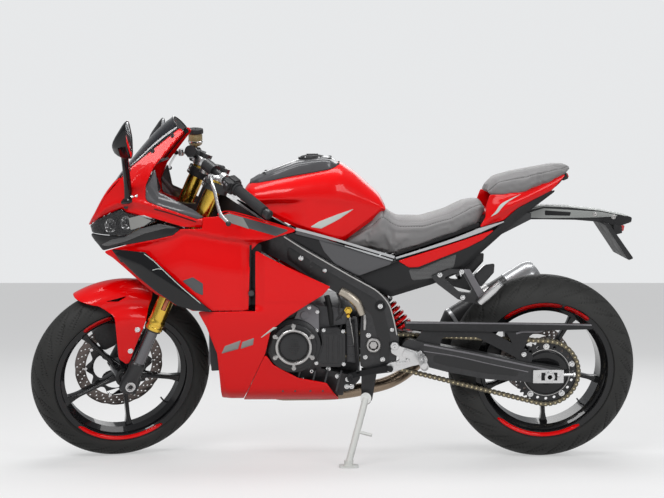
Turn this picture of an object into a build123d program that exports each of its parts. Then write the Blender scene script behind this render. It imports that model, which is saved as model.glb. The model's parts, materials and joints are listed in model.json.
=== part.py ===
"""Sport motorcycle with a full fairing, parked on its side stand.

Every piece is modelled on an upright machine: X runs to the rear, Y to the rider's right,
Z up, with the origin midway between the axles on the ground. The last section leans the
machine onto its stand, turns the steering to its left stop and writes one file per piece.
"""

import os
from math import asin, atan2, cos, degrees, pi, radians, sin, sqrt, tan

from build123d import *

# ---------------------------------------------------------------- driving dimensions
WHEELBASE = 1415
LEAN = 9  # degrees onto the side stand
RAKE = 24.5  # degrees, steering axis from the vertical
TRAIL = 100
STEER_LOCK = 24  # degrees each way

FRONT_TYRE_RADIUS = 300
FRONT_TYRE_WIDTH = 120
REAR_TYRE_RADIUS = 312
REAR_TYRE_WIDTH = 160
TYRE_WALL = 9
RIM_SEAT_RADIUS = 216
RIM_FLANGE_HEIGHT = 14
RIM_FLANGE_THICKNESS = 5
RIM_WELL_DEPTH = 16
RIM_WALL = 5
FRONT_RIM_WIDTH = 104
REAR_RIM_WIDTH = 140
SPOKES = 5

AXLE_RADIUS = 12.5
AXLE_BORE_RADIUS = 8
RUNNING_CLEARANCE = 0.05
HUB_GAP = 0.5
FRONT_HUB_RADIUS = 34
REAR_HUB_RADIUS = 46

DISC_RADIUS = 150
DISC_BAND = 36
DISC_THICKNESS = 5
DISC_OFFSET = 60  # inner face from the centre plane
FRONT_HUB_LEFT = 60  # plain end of the hub from the centre plane
REAR_DISC_RADIUS = 120
REAR_DISC_OFFSET = 88
DISC_SLOT_GAP = 5

FORK_SPREAD = 105  # leg axis from the centre plane
FORK_OUTER_RADIUS = 27
FORK_INNER_RADIUS = 20.5
FORK_OUTER_START = 203  # up the leg from the axle
FORK_TOP = 742
LOWER_YOKE_AT = 498
UPPER_YOKE_AT = 700
YOKE_THICKNESS = 30
STEM_RADIUS = 15
HEAD_TUBE_RADIUS = 34

CHAIN_PITCH = 15.875
REAR_TEETH = 42
FRONT_TEETH = 15
CHAIN_WIDTH = 16
CHAIN_PLATE_HEIGHT = 15
CHAIN_WAIST_HEIGHT = 11
CHAIN_LINE = 96  # chain centre to the left of the centre plane

SPAR_HALF_WIDTH = 150
SPAR_THICKNESS = 38
PANEL_WALL = 5
SCREEN_WALL = 4
PIVOT_TUBE_RADIUS = 30
PIVOT_HALF_WIDTH = 78
SWINGARM_OUTER = 143
SWINGARM_THICKNESS = 34
MUFFLER_RADIUS = 56
PIPE_RADIUS = 22
STAND_LEG_RADIUS = 11
STAND_PIN_RADIUS = 6
STAND_LUG_OUTER = 136
LEG_STANDOFF = STAND_LEG_RADIUS + 1.5
SWINGARM_INNER = SWINGARM_OUTER - SWINGARM_THICKNESS
SPRING_TURNS = 6
SPRING_RADIUS = 34
SHOCK_GAP = 44  # half width of the swingarm's window round the shock
CROSS_TUBE_RADIUS = 20
GRIP_RADIUS = 16.5
BAR_RADIUS = 11.1

# ---------------------------------------------------------------- places on the machine
FRONT_AXLE = Vector(-WHEELBASE / 2, 0, FRONT_TYRE_RADIUS)
REAR_AXLE = Vector(WHEELBASE / 2, 0, REAR_TYRE_RADIUS)
PIVOT_X, PIVOT_Z = 138, 420  # swingarm pivot
OUTPUT_X, OUTPUT_Z = 45, 412  # gearbox output shaft
SHOCK_TOP, SHOCK_FOOT = (150, 552), (268, 400)
COVER_X, COVER_Z = -120, 422  # round generator cover
STAND_X, STAND_Y, STAND_Z = 112, -148, 240  # side-stand pivot
FOOT_X, FOOT_Y = 55, -222  # side-stand foot on the upright machine
CASE_HALF_WIDTH = 148
CASE_BACK = 94
PANEL_STUBS = [(-252, 600), (-226, 470), (-150, 300), (-40, 272)]  # (x, z) of the panels' mounts

FORK_OFFSET = FRONT_TYRE_RADIUS * sin(radians(RAKE)) - TRAIL * cos(radians(RAKE))
FORK = Pos(FRONT_AXLE) * Rot(0, RAKE, 0)  # local X rearward, local Z up the leg


# ---------------------------------------------------------------- shape helpers
def rounded_face(rows, place):
    """Closed outline of straight runs; rows are (across, up, corner radius)."""
    corners = []
    for index, (across, up, radius) in enumerate(rows):
        corner = Vector(across, up)
        back = Vector(*rows[index - 1][:2]) - corner
        ahead = Vector(*rows[(index + 1) % len(rows)][:2]) - corner
        half = radians(back.get_angle(ahead)) / 2
        reach = min(radius / tan(half), 0.48 * back.length, 0.48 * ahead.length)
        to_back, to_ahead = back.normalized(), ahead.normalized()
        inward = (to_back + to_ahead).normalized() * (reach / cos(half) - reach * tan(half))
        corners.append((corner + to_back * reach, corner + inward, corner + to_ahead * reach))
    edges = []
    for index, (start, middle, end) in enumerate(corners):
        following = corners[(index + 1) % len(corners)][0]
        if (end - start).length > 0.01:
            edges.append(ThreePointArc(place(start), place(middle), place(end)))
        edges.append(Line(place(end), place(following)))
    return make_face(edges)


def side_prism(rows, y_from, y_to):
    """Outline seen from the side, rows (x, z, corner radius), between two Y planes."""
    face = rounded_face(rows, lambda v: (v.X, y_from, v.Y))
    return extrude(face, amount=y_to - y_from, dir=(0, 1, 0))


def plan_prism(rows, z_from, z_to):
    """Outline seen from above, rows (x, y, corner radius), between two Z planes."""
    face = rounded_face(rows, lambda v: (v.X, v.Y, z_from))
    return extrude(face, amount=z_to - z_from, dir=(0, 0, 1))


def front_prism(rows, x_from, x_to):
    """Outline seen from ahead, rows (y, z, corner radius), between two X planes."""
    face = rounded_face(rows, lambda v: (x_from, v.X, v.Y))
    return extrude(face, amount=x_to - x_from, dir=(1, 0, 0))


def both_halves(rows, inset=0.0):
    """Whole plan outline from its right half, rows (x, half width, corner radius)."""
    right = [(x, max(half - inset, 3), radius) for x, half, radius in rows]
    return right + [(x, -half, radius) for x, half, radius in reversed(right)]


def both_sides(rows, inset=0.0):
    """Whole front outline from its right half, rows (half width, z, corner radius)."""
    right = [(half - inset, z, radius) for half, z, radius in rows]
    return right + [(-half, z, radius) for half, z, radius in reversed(right)]


def shifted(rows, right, up):
    return [(across + right, rise + up, radius) for across, rise, radius in rows]


def rod(start, end, radius, bore=0.0):
    """Round bar or tube between two points."""
    start, end = Vector(*start), Vector(*end)
    where = Plane(origin=start, z_dir=end - start)
    length = (end - start).length
    bar = extrude(where * Circle(radius), amount=length)
    if bore:
        bar -= extrude(where * Circle(bore), amount=length)
    return bar


def cross_rod(x, z, y_from, y_to, radius, bore=0.0):
    return rod((x, y_from, z), (x, y_to, z), radius, bore)


def bent_tube(points, radius, share=0.45):
    """Round tube along straight runs joined by tangent arcs."""
    points = [Vector(*p) for p in points]
    edges, here = [], points[0]
    for index in range(1, len(points) - 1):
        before, corner, after = points[index - 1], points[index], points[index + 1]
        back, ahead = before - corner, after - corner
        reach = share * min(back.length, ahead.length)
        half = radians(back.get_angle(ahead)) / 2
        to_back, to_ahead = back.normalized(), ahead.normalized()
        inward = (to_back + to_ahead).normalized() * (reach / cos(half) - reach * tan(half))
        edges.append(Line(here, corner + to_back * reach))
        here = corner + to_ahead * reach
        edges.append(ThreePointArc(corner + to_back * reach, corner + inward, here))
    edges.append(Line(here, points[-1]))
    path = Wire(edges)
    section = Plane(origin=points[0], z_dir=points[1] - points[0]) * Circle(radius)
    return sweep(section, path=path)


def moved(location, point):
    return (location * Pos(*point)).position


def twins(shape):
    """The piece and its mirror image on the other side of the machine."""
    return [*shape.solids(), *mirror(shape, about=Plane.XZ).solids()]


# ---------------------------------------------------------------- parked pose
STEERED = (
    FORK * Pos(FORK_OFFSET, 0, 0) * Rot(0, 0, STEER_LOCK) * Pos(-FORK_OFFSET, 0, 0) * FORK.inverse()
)


def tyre_low_point(location, centre, radius, width):
    """Height of the lowest point of a round-crowned tyre."""
    middle = moved(location, centre)
    spin = moved(location, centre + Vector(0, 1, 0)) - middle
    tube = width / 2
    return middle.Z - (radius - tube) * sqrt(1 - spin.Z**2) - tube


def parked_location():
    """Leans the machine and settles both tyres on the ground."""
    pitch = 0.0
    for _ in range(6):
        tilt = Rot(LEAN, 0, 0) * Rot(0, pitch, 0)
        front_low = tyre_low_point(tilt * STEERED, FRONT_AXLE, FRONT_TYRE_RADIUS, FRONT_TYRE_WIDTH)
        rear_low = tyre_low_point(tilt, REAR_AXLE, REAR_TYRE_RADIUS, REAR_TYRE_WIDTH)
        pitch -= degrees((front_low - rear_low) / WHEELBASE)
    return Pos(0, 0, -rear_low) * tilt


PARKED = parked_location()
STAND_PIVOT = Vector(STAND_X, STAND_Y, STAND_Z)
ground = moved(PARKED, (FOOT_X, FOOT_Y, 0)).Z
climb = moved(PARKED, (FOOT_X, FOOT_Y, 1)).Z - ground
FOOT = Vector(FOOT_X, FOOT_Y, -ground / climb)
STAND_DOWN = (FOOT - STAND_PIVOT).normalized()
STAND_FOLDED = Vector(1, -0.02, 0.08).normalized()
STAND_AXIS = STAND_DOWN.cross(STAND_FOLDED).normalized()


# ---------------------------------------------------------------- wheels
def tyre(centre, radius, width, rim_width):
    """Hollow carcass: round crown, sidewalls and beads seated between the rim's flanges."""
    crown = width / 2
    shoulder = radius - crown
    bead = rim_width / 2 - RIM_FLANGE_THICKNESS
    flange = RIM_SEAT_RADIUS + RIM_FLANGE_HEIGHT
    inner = crown - TYRE_WALL
    outline = [
        Line((RIM_SEAT_RADIUS, -bead), (flange, -bead)),
        Line((flange, -bead), (shoulder, -crown)),
        ThreePointArc((shoulder, -crown), (radius, 0), (shoulder, crown)),
        Line((shoulder, crown), (flange, bead)),
        Line((flange, bead), (RIM_SEAT_RADIUS, bead)),
        Line((RIM_SEAT_RADIUS, bead), (RIM_SEAT_RADIUS, bead - TYRE_WALL)),
        Line((RIM_SEAT_RADIUS, bead - TYRE_WALL), (shoulder, inner)),
        ThreePointArc((shoulder, inner), (shoulder + inner, 0), (shoulder, -inner)),
        Line((shoulder, -inner), (RIM_SEAT_RADIUS, TYRE_WALL - bead)),
        Line((RIM_SEAT_RADIUS, TYRE_WALL - bead), (RIM_SEAT_RADIUS, -bead)),
    ]
    return Pos(centre) * revolve(make_face(outline), axis=Axis.Y)


def rim(centre, width, hub_radius, hub_left, hub_right):
    """Cast wheel: dropped-centre barrel, five tapered spokes with pockets, and a hub."""
    half = width / 2
    seat, flange = RIM_SEAT_RADIUS, RIM_SEAT_RADIUS + RIM_FLANGE_HEIGHT
    well = seat - RIM_WELL_DEPTH
    lip = half - RIM_FLANGE_THICKNESS
    hump, drop = half - 22, half - 34
    right = [(flange, half, 0), (flange, lip, 0), (seat, lip, 0), (seat, hump, 0), (well, drop, 0)]
    under = [(well - RIM_WALL, drop, 0), (seat - RIM_WALL, hump, 0), (seat - RIM_WALL, half, 0)]
    left = [(radius, -y, corner) for radius, y, corner in reversed(right)]
    under_left = [(radius, -y, corner) for radius, y, corner in reversed(under)]
    wheel = revolve(rounded_face(right + left + under_left + under, lambda v: (v.X, v.Y, 0)), axis=Axis.Y)
    wheel += cross_rod(0, 0, -hub_left, hub_right, hub_radius)
    root, tip = hub_radius - 6, well - 2
    for index in range(SPOKES):
        turn = Rot(0, 90 + index * 360 / SPOKES, 0)
        sections = [
            Plane(origin=(root, 0, 0), x_dir=(0, 1, 0), z_dir=(1, 0, 0)) * Rectangle(40, 50),
            Plane(origin=(tip, 0, 0), x_dir=(0, 1, 0), z_dir=(1, 0, 0)) * Rectangle(30, 24),
        ]
        spoke = loft(sections, ruled=True)
        for side in (1, -1):
            floor = 12 * side
            pocket = Polyline(
                (hub_radius + 16, floor, -13), (hub_radius + 16, floor, 13), (tip - 12, floor, 6),
                (tip - 12, floor, -6), close=True,
            )
            spoke -= extrude(make_face(pocket), amount=20, dir=(0, side, 0))
        wheel += turn * spoke
    wheel -= cross_rod(0, 0, -hub_left, hub_right, AXLE_RADIUS + RUNNING_CLEARANCE)
    return Pos(centre) * wheel


def brake_disc(centre, radius, y_inner, hub_radius, windows):
    """Braking band on a carrier with rounded windows; y_inner is the face near the wheel."""
    y_outer = y_inner + DISC_THICKNESS * (1 if y_inner > 0 else -1)
    disc = cross_rod(0, 0, y_inner, y_outer, radius, bore=hub_radius)
    carrier = radius - DISC_BAND
    middle = (carrier + hub_radius) / 2 + 4
    window = min((carrier - hub_radius) / 2 - 6, 0.4 * 2 * pi * middle / windows)
    for index in range(windows):
        angle = 2 * pi * index / windows
        x, z = middle * cos(angle), middle * sin(angle)
        disc -= cross_rod(x, z, y_inner, y_outer, window)
    return Pos(centre) * disc


def rear_sprocket():
    """Toothed ring inside the chain, on a lightened carrier plate."""
    pitch_radius = CHAIN_PITCH / (2 * sin(pi / REAR_TEETH))
    tip = pitch_radius - CHAIN_PLATE_HEIGHT / 2 - 1.5
    points = []
    for index in range(2 * REAR_TEETH):
        radius = tip if index % 2 else tip - 5
        angle = pi * index / REAR_TEETH
        points.append((radius * cos(angle), -CHAIN_LINE - 3, radius * sin(angle)))
    plate = extrude(make_face(Polyline(*points, close=True)), amount=6, dir=(0, 1, 0))
    plate -= cross_rod(0, 0, -CHAIN_LINE - 3, -CHAIN_LINE + 3, REAR_HUB_RADIUS - 14)
    for index in range(SPOKES):
        angle = 2 * pi * index / SPOKES
        plate -= cross_rod(66 * cos(angle), 66 * sin(angle), -CHAIN_LINE - 3, -CHAIN_LINE + 3, 13)
    return Pos(REAR_AXLE) * plate


# ---------------------------------------------------------------- front fork and steering
def fork_tubes():
    """Outer legs of the upside-down fork, held by both yokes, with screw caps."""
    shapes = []
    for side in (1, -1):
        leg = Pos(0, side * FORK_SPREAD, FORK_OUTER_START) * Cylinder(
            FORK_OUTER_RADIUS, FORK_TOP - FORK_OUTER_START, align=(Align.CENTER, Align.CENTER, Align.MIN)
        )
        seal = Pos(0, side * FORK_SPREAD, FORK_OUTER_START) * Cylinder(
            FORK_OUTER_RADIUS + 3, 34, align=(Align.CENTER, Align.CENTER, Align.MIN)
        )
        socket = Pos(0, side * FORK_SPREAD, FORK_OUTER_START) * Cylinder(
            FORK_INNER_RADIUS, 60, align=(Align.CENTER, Align.CENTER, Align.MIN)
        )
        shapes.append(FORK * (leg + seal - socket))
    return shapes


def fork_sliders():
    """Inner tubes with forged feet that clamp the axle."""
    shapes = []
    for side in (1, -1):
        tube = Pos(0, side * FORK_SPREAD, 20) * Cylinder(
            FORK_INNER_RADIUS, FORK_OUTER_START + 60 - 20, align=(Align.CENTER, Align.CENTER, Align.MIN)
        )
        foot = Pos(0, side * FORK_SPREAD, AXLE_RADIUS + 7) * Cylinder(
            FORK_INNER_RADIUS + 5, 58, align=(Align.CENTER, Align.CENTER, Align.MIN)
        )
        y_from, y_to = side * FORK_SPREAD - 20, side * FORK_SPREAD + 20
        lug = rod((0, y_from, 0), (0, y_to, 0), 27)
        foot_piece = tube + foot + lug
        if side > 0:
            foot_piece += side_prism(EAR_SIDE, CALIPER_OUTER, CALIPER_OUTER + 8)
        foot_piece -= rod((0, y_from, 0), (0, y_to, 0), AXLE_RADIUS)
        shapes.append(FORK * foot_piece)
    return shapes


def front_axle():
    """Hollow spindle with a spacer on each side of the hub and a collar at each end."""
    reach = FORK_SPREAD + 26
    spacer = FORK_SPREAD - 20
    axle = cross_rod(0, 0, -reach, reach, AXLE_RADIUS)
    for side, hub_end in ((1, DISC_OFFSET + DISC_THICKNESS), (-1, FRONT_HUB_LEFT)):
        axle += cross_rod(0, 0, side * (hub_end + HUB_GAP), side * spacer, AXLE_RADIUS + 5)
        axle += cross_rod(0, 0, side * (FORK_SPREAD + 20), side * reach, AXLE_RADIUS + 4)
    axle -= cross_rod(0, 0, -reach, reach, AXLE_BORE_RADIUS)
    return Pos(FRONT_AXLE) * axle


def yoke(height, thickness, leg_radius):
    """Clamp plate that ties both legs to the stem."""
    outline = [
        (FORK_OFFSET + 38, -30, 24), (FORK_OFFSET + 38, 30, 24), (36, FORK_SPREAD + 34, 30),
        (-34, FORK_SPREAD + 34, 30), (-34, FORK_SPREAD - 34, 24), (2, 40, 40), (2, -40, 40),
        (-34, -FORK_SPREAD + 34, 24), (-34, -FORK_SPREAD - 34, 30), (36, -FORK_SPREAD - 34, 30),
    ]
    plate = plan_prism(outline, height, height + thickness)
    for side in (1, -1):
        plate -= Pos(0, side * FORK_SPREAD, height) * Cylinder(
            leg_radius, thickness, align=(Align.CENTER, Align.CENTER, Align.MIN)
        )
    return plate


def yokes():
    """Both yokes on the steering stem, one rigid piece that turns in the head tube."""
    lower = yoke(LOWER_YOKE_AT, YOKE_THICKNESS, FORK_OUTER_RADIUS)
    upper = yoke(UPPER_YOKE_AT, YOKE_THICKNESS, FORK_OUTER_RADIUS)
    stem = Pos(FORK_OFFSET, 0, LOWER_YOKE_AT) * Cylinder(
        STEM_RADIUS, UPPER_YOKE_AT + YOKE_THICKNESS + 10 - LOWER_YOKE_AT,
        align=(Align.CENTER, Align.CENTER, Align.MIN),
    )
    return FORK * (lower + upper + stem)


# Ear on the right fork foot that carries the caliper, (local x, up the leg, corner radius).
EAR_SIDE = [(0, 40, 0), (-52, 72, 9), (-74, 118, 9), (-56, 130, 9), (0, 96, 0)]
CALIPER_OUTER = DISC_OFFSET + DISC_THICKNESS + DISC_SLOT_GAP + 24

# Left bar, set from the front axle: its start above the fork cap and the grip's end.
BAR_START = tuple(FRONT_AXLE + Vector(277.5, -120, 716))
GRIP_END = tuple(FRONT_AXLE + Vector(379.5, -372, 628))
LEVER_BEND = tuple(FRONT_AXLE + Vector(249.5, -322, 626))
LEVER_TIP = tuple(FRONT_AXLE + Vector(261.5, -372, 604))


def along(start, end, share):
    return tuple(a + (b - a) * share for a, b in zip(start, end))


GRIP_START = along(BAR_START, GRIP_END, 0.49)


def handlebars():
    """Raised clip-on bars: a post on each fork cap, a clamp and a straight tube."""
    post = FORK * rod((0, -FORK_SPREAD, FORK_TOP), (0, -FORK_SPREAD, FORK_TOP + 40), 24)
    head = Plane(origin=BAR_START, z_dir=Vector(*GRIP_END) - Vector(*BAR_START))
    clamp = extrude(head * Circle(20), amount=24, both=True)
    clamp += rod(moved(FORK, (0, -FORK_SPREAD, FORK_TOP + 28)), BAR_START, 17)
    tube = rod(BAR_START, GRIP_END, BAR_RADIUS)
    return twins(post + clamp + tube)


def grips():
    """Rubber sleeves with a flange inboard and a bar-end weight outboard."""
    sleeve = rod(GRIP_START, GRIP_END, GRIP_RADIUS, BAR_RADIUS)
    sleeve += rod(GRIP_START, along(GRIP_START, GRIP_END, 0.04), GRIP_RADIUS + 4, BAR_RADIUS)
    weight = rod(GRIP_END, along(GRIP_START, GRIP_END, 1.12), GRIP_RADIUS - 2)
    return twins(sleeve + weight)


def controls():
    """Switch pods, lever perches, levers and the brake-fluid cup on the right."""
    inner = along(BAR_START, GRIP_START, 0.62)
    pod = rod(inner, along(BAR_START, GRIP_START, 0.98), 23, BAR_RADIUS)
    perch = rod(along(BAR_START, GRIP_START, 0.36), inner, 16, BAR_RADIUS)
    perch_mid = Vector(*along(BAR_START, GRIP_START, 0.5))
    arm_start = perch_mid + Vector(-14, 4, 4)
    lever_root = perch_mid + Vector(-44, -6, 6)
    arm = rod(arm_start, lever_root, 8)
    lever = bent_tube([lever_root, lever_root + Vector(-4, -60, -22), LEVER_BEND, LEVER_TIP], 5.5)
    ball = Pos(LEVER_TIP) * Sphere(9)
    left = pod + perch + arm + lever + ball - rod(BAR_START, GRIP_END, BAR_RADIUS)
    right = mirror(left, about=Plane.XZ)
    cup_side = Vector(*along(BAR_START, GRIP_START, 0.8))
    cup_foot = Vector(cup_side.X, -cup_side.Y, cup_side.Z + 18)
    cup = rod(cup_foot, cup_foot + Vector(0, 0, 14), 7)
    cup += rod(cup_foot + Vector(0, 0, 14), cup_foot + Vector(0, 0, 62), 24)
    cup += rod(cup_foot + Vector(0, 0, 62), cup_foot + Vector(0, 0, 74), 27)
    return [left, right + cup]


def front_fender():
    """Deep guard over the front tyre; its flared skirts reach down ahead of the legs."""
    crown, narrow, wide, wall = FRONT_TYRE_RADIUS + 26, FRONT_TYRE_WIDTH / 2 + 15, CALIPER_OUTER + 13, 3.5
    rise, flare_top, flare_low = FRONT_TYRE_RADIUS - 8, FRONT_TYRE_RADIUS - 34, FRONT_TYRE_RADIUS - 70
    half = [(rise, narrow), (flare_top, narrow), (flare_low, wide), (60, wide)]
    skin = [(rise, narrow - wall), (flare_top - 1, narrow - wall), (flare_low - 1, wide - wall), (60, wide - wall)]
    section = [
        ThreePointArc((rise, -narrow), (crown, 0), (rise, narrow)),
        Polyline(*half),
        Line(half[-1], skin[-1]),
        Polyline(*reversed(skin)),
        ThreePointArc(skin[0], (crown - wall, 0), (rise, wall - narrow)),
        Polyline(*[(radius, -y) for radius, y in skin]),
        Line((60, wall - wide), (60, -wide)),
        Polyline(*[(radius, -y) for radius, y in reversed(half)]),
    ]
    bowl = Pos(FRONT_AXLE) * revolve(make_face(section), axis=Axis.Y)
    # Seen from the side and set from the axle: the guard follows the tyre, the skirts the legs.
    top = FRONT_TYRE_RADIUS + 40
    outline = [
        (-160.5, top - 50, 12), (-122.5, top, 40), (67.5, top, 40), (101.5, top - 34, 20),
        (73.5, top - 95, 30), (45.5, 180, 20), (21.5, 125, 20), (-0.5, 68, 14), (-30.5, 95, 20),
        (-38.5, top - 100, 20), (-82.5, top - 68, 30),
    ]
    fender = bowl & side_prism(shifted(outline, FRONT_AXLE.X, FRONT_AXLE.Z), -200, 200)
    # Lugs that bolt the skirts to the inner tubes.
    for up_leg in (112, 172):
        for side in (1, -1):
            level = side * (wide - wall / 2)
            lug = FORK * rod((-FORK_INNER_RADIUS - 14, level, up_leg), (-8, level, up_leg), 6)
            fender += lug - SLIDERS[0] - SLIDERS[1]
    return fender


def front_caliper():
    """Four-piston caliper ahead of the right leg, straddling the disc."""
    slot_in = DISC_OFFSET - DISC_SLOT_GAP
    slot_out = DISC_OFFSET + DISC_THICKNESS + DISC_SLOT_GAP
    outline = [(-50, 72, 12), (-80, 40, 14), (-142, 88, 14), (-120, 132, 16), (-62, 148, 12)]
    body = side_prism(outline, slot_in - 24, CALIPER_OUTER)
    body -= cross_rod(0, 0, slot_in, slot_out, DISC_RADIUS + DISC_SLOT_GAP)
    return FORK * body


# ---------------------------------------------------------------- frame and engine
def main_frame():
    """Twin spars swept down to the pivot plates, head tube, cross tubes and seat rails."""
    head = [(269.5, 512, 0), (306.5, 593, 0), (357.5, 603, 20)]  # from the front axle
    spar_side = shifted(head, FRONT_AXLE.X, FRONT_AXLE.Z) + [
        (-147, 777, 60), (60, 650, 60),
        (150, 598, 50), (190, 556, 40), (219, 443, 30), (206, 330, 15), (143, 322, 15),
        (CASE_BACK, 350, 8), (CASE_BACK, 470, 0), (98, 535, 40), (50, 572, 40), (-150, 690, 60),
        (-330, 775, 40),
    ]
    spar_plan = shifted([(262.5, 34, 0), (317.5, 46, 20), (377.5, 74, 30)], FRONT_AXLE.X, 0) + [
        (-200, 128, 60),
        (-60, SPAR_HALF_WIDTH, 60), (260, SPAR_HALF_WIDTH, 0),
    ]
    inside = [(x, max(half - SPAR_THICKNESS, 2), corner) for x, half, corner in spar_plan[2:]]
    inside[0] = (FRONT_AXLE.X + 397.5, 20, 0)
    frame = side_prism(spar_side, -200, 200) & plan_prism(both_halves(spar_plan), 200, 1000)
    inside[-1] = (400, SPAR_HALF_WIDTH - SPAR_THICKNESS, 0)
    frame -= plan_prism(both_halves(inside), 200, 1000)
    head_from, head_to = LOWER_YOKE_AT + YOKE_THICKNESS + 5, UPPER_YOKE_AT - 5
    head_base = FORK * Pos(FORK_OFFSET, 0, head_from)
    tube = head_base * Cylinder(HEAD_TUBE_RADIUS, head_to - head_from, align=(Align.CENTER, Align.CENTER, Align.MIN))
    frame += tube
    frame += cross_rod(PIVOT_X, PIVOT_Z, -SPAR_HALF_WIDTH, SPAR_HALF_WIDTH, PIVOT_TUBE_RADIUS - 12)
    frame += cross_rod(PIVOT_X, PIVOT_Z, -PIVOT_HALF_WIDTH, PIVOT_HALF_WIDTH, PIVOT_TUBE_RADIUS)
    frame += cross_rod(*SHOCK_TOP, -SPAR_HALF_WIDTH + 10, SPAR_HALF_WIDTH - 10, CROSS_TUBE_RADIUS)
    for side in (1, -1):
        rail = [(120, 618, 0), (118, 650, 10), (612, 838, 10), (650, 838, 0), (650, 818, 0), (400, 690, 30), (190, 575, 0)]
        window = [(150, 632, 8), (520, 776, 8), (392, 706, 20), (206, 606, 8)]
        rails = side_prism(rail, side * 62, side * 80)
        rails -= side_prism(window, side * 62, side * 80)
        frame += rails
        frame += rod((140, side * 60, 600), (120, side * (SPAR_HALF_WIDTH - 12), 590), 14)
    frame += cross_rod(630, 828, -66, 66, 9)
    frame += cross_rod(300, 700, -66, 66, 9)
    # Stay that carries the nose fairing, between the fork legs.
    stay = shifted([(275.5, 530, 0), (287.5, 566, 0)], FRONT_AXLE.X, FRONT_AXLE.Z)
    frame += side_prism(stay + [(-620, 876, 0), (-620, 846, 0)], -26, 26)
    # Cross bar that carries the cowl's sides.
    frame += cross_rod(-650, 872, -200, 200, 8) & FAIRING[1] - SKIN
    frame += side_prism([(-620, 846, 0), (-620, 876, 0), (-658, 880, 4), (-658, 864, 4)], -26, 26)
    # Lug of the side stand, bored for its pin.
    lug = side_prism([(98, 226, 12), (98, 335, 0), (150, 335, 0), (132, 226, 12)], -STAND_LUG_OUTER, -STAND_LUG_OUTER + 22)
    lug += rod(STAND_PIVOT - STAND_AXIS * 26, STAND_PIVOT, 18)
    frame += lug
    frame -= rod(STAND_PIVOT - STAND_AXIS * 30, STAND_PIVOT, STAND_PIN_RADIUS + RUNNING_CLEARANCE)
    bore = Cylinder(STEM_RADIUS + RUNNING_CLEARANCE, 400)
    frame -= FORK * Pos(FORK_OFFSET, 0, 600) * bore
    return frame


def engine_block():
    """Crankcase with an inclined cylinder bank, one plain block."""
    case_side = [
        (-232, 330, 40), (-190, 262, 30), (60, 250, 30), (CASE_BACK, 300, 20), (CASE_BACK, 470, 20), (40, 540, 30),
        (-140, 560, 20), (-232, 470, 30),
    ]
    bank_side = [(-334, 640, 20), (-262, 706, 20), (-80, 590, 20), (-60, 480, 0), (-200, 420, 0), (-300, 540, 20)]
    case_front = [(92, 240, 20), (130, 310, 30), (CASE_HALF_WIDTH, 360, 20), (CASE_HALF_WIDTH, 600, 0)]
    case = side_prism(case_side, -200, 200) & front_prism(both_sides(case_front), -400, 200)
    recess = [(-34, 340, 0), (-34, 476, 0), (120, 500, 0), (120, 300, 0)]
    case -= side_prism(recess, -CASE_HALF_WIDTH, -CHAIN_LINE + CHAIN_WIDTH)
    front_pitch_radius = CHAIN_PITCH / (2 * sin(pi / FRONT_TEETH))
    seat = front_pitch_radius - CHAIN_PLATE_HEIGHT / 2 - RUNNING_CLEARANCE
    shaft = cross_rod(OUTPUT_X, OUTPUT_Z, -CHAIN_LINE - CHAIN_WIDTH / 2, -CHAIN_LINE + CHAIN_WIDTH, seat)
    block = case + shaft + side_prism(bank_side, -104, 104)
    # Stubs that carry the lower panels.
    for x, z in PANEL_STUBS:
        block += cross_rod(x, z, -300, 300, 9) & FAIRING[1] - SKIN
    return block


def engine_covers():
    """Round generator cover, pointed timing cover, chain-drive cover and clutch cover."""
    y = -CASE_HALF_WIDTH
    round_cover = cross_rod(COVER_X, COVER_Z, y, y - 26, 86)
    round_cover += cross_rod(COVER_X, COVER_Z, y - 26, y - 36, 72)
    round_cover += cross_rod(COVER_X, COVER_Z, y - 36, y - 44, 54)
    round_cover -= cross_rod(COVER_X, COVER_Z, y - 38, y - 44, 44)
    for index in range(6):
        angle = radians(30 + 60 * index)
        round_cover += cross_rod(COVER_X + 63 * cos(angle), COVER_Z + 63 * sin(angle), y - 36, y - 42, 7)
    upper = side_prism([(-128, 480, 0), (-96, 552, 16), (-66, 548, 16), (-34, 500, 16), (-40, 440, 0)], y, y - 16)
    drive = side_prism([(-52, 372, 10), (-30, 480, 12), (44, 468, 14), (44, 376, 14), (-40, 352, 10)], y, y - 26)
    rear = side_prism([(46, 366, 6), (46, 500, 10), (84, 520, 10), (90, 360, 6)], y, y - 10)
    clutch = cross_rod(COVER_X, COVER_Z, -y, -y + 30, 82)
    clutch += cross_rod(COVER_X, COVER_Z, -y + 30, -y + 38, 64)
    clutch += cross_rod(COVER_X + 110, COVER_Z - 10, -y, -y + 18, 40)
    return [round_cover + upper + drive + rear, clutch]


def radiator():
    """Slanted core with side tanks, on stays from the cylinder head."""
    core = side_prism([(-398, 610, 4), (-362, 612, 4), (-352, 340, 4), (-388, 338, 4)], -160, 160)
    stay = side_prism([(-364, 600, 0), (-364, 560, 0), (-300, 560, 0), (-300, 600, 0)], 70, 90) - ENGINE
    stays = twins(stay)
    return core + stays[0] + stays[1]


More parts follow.
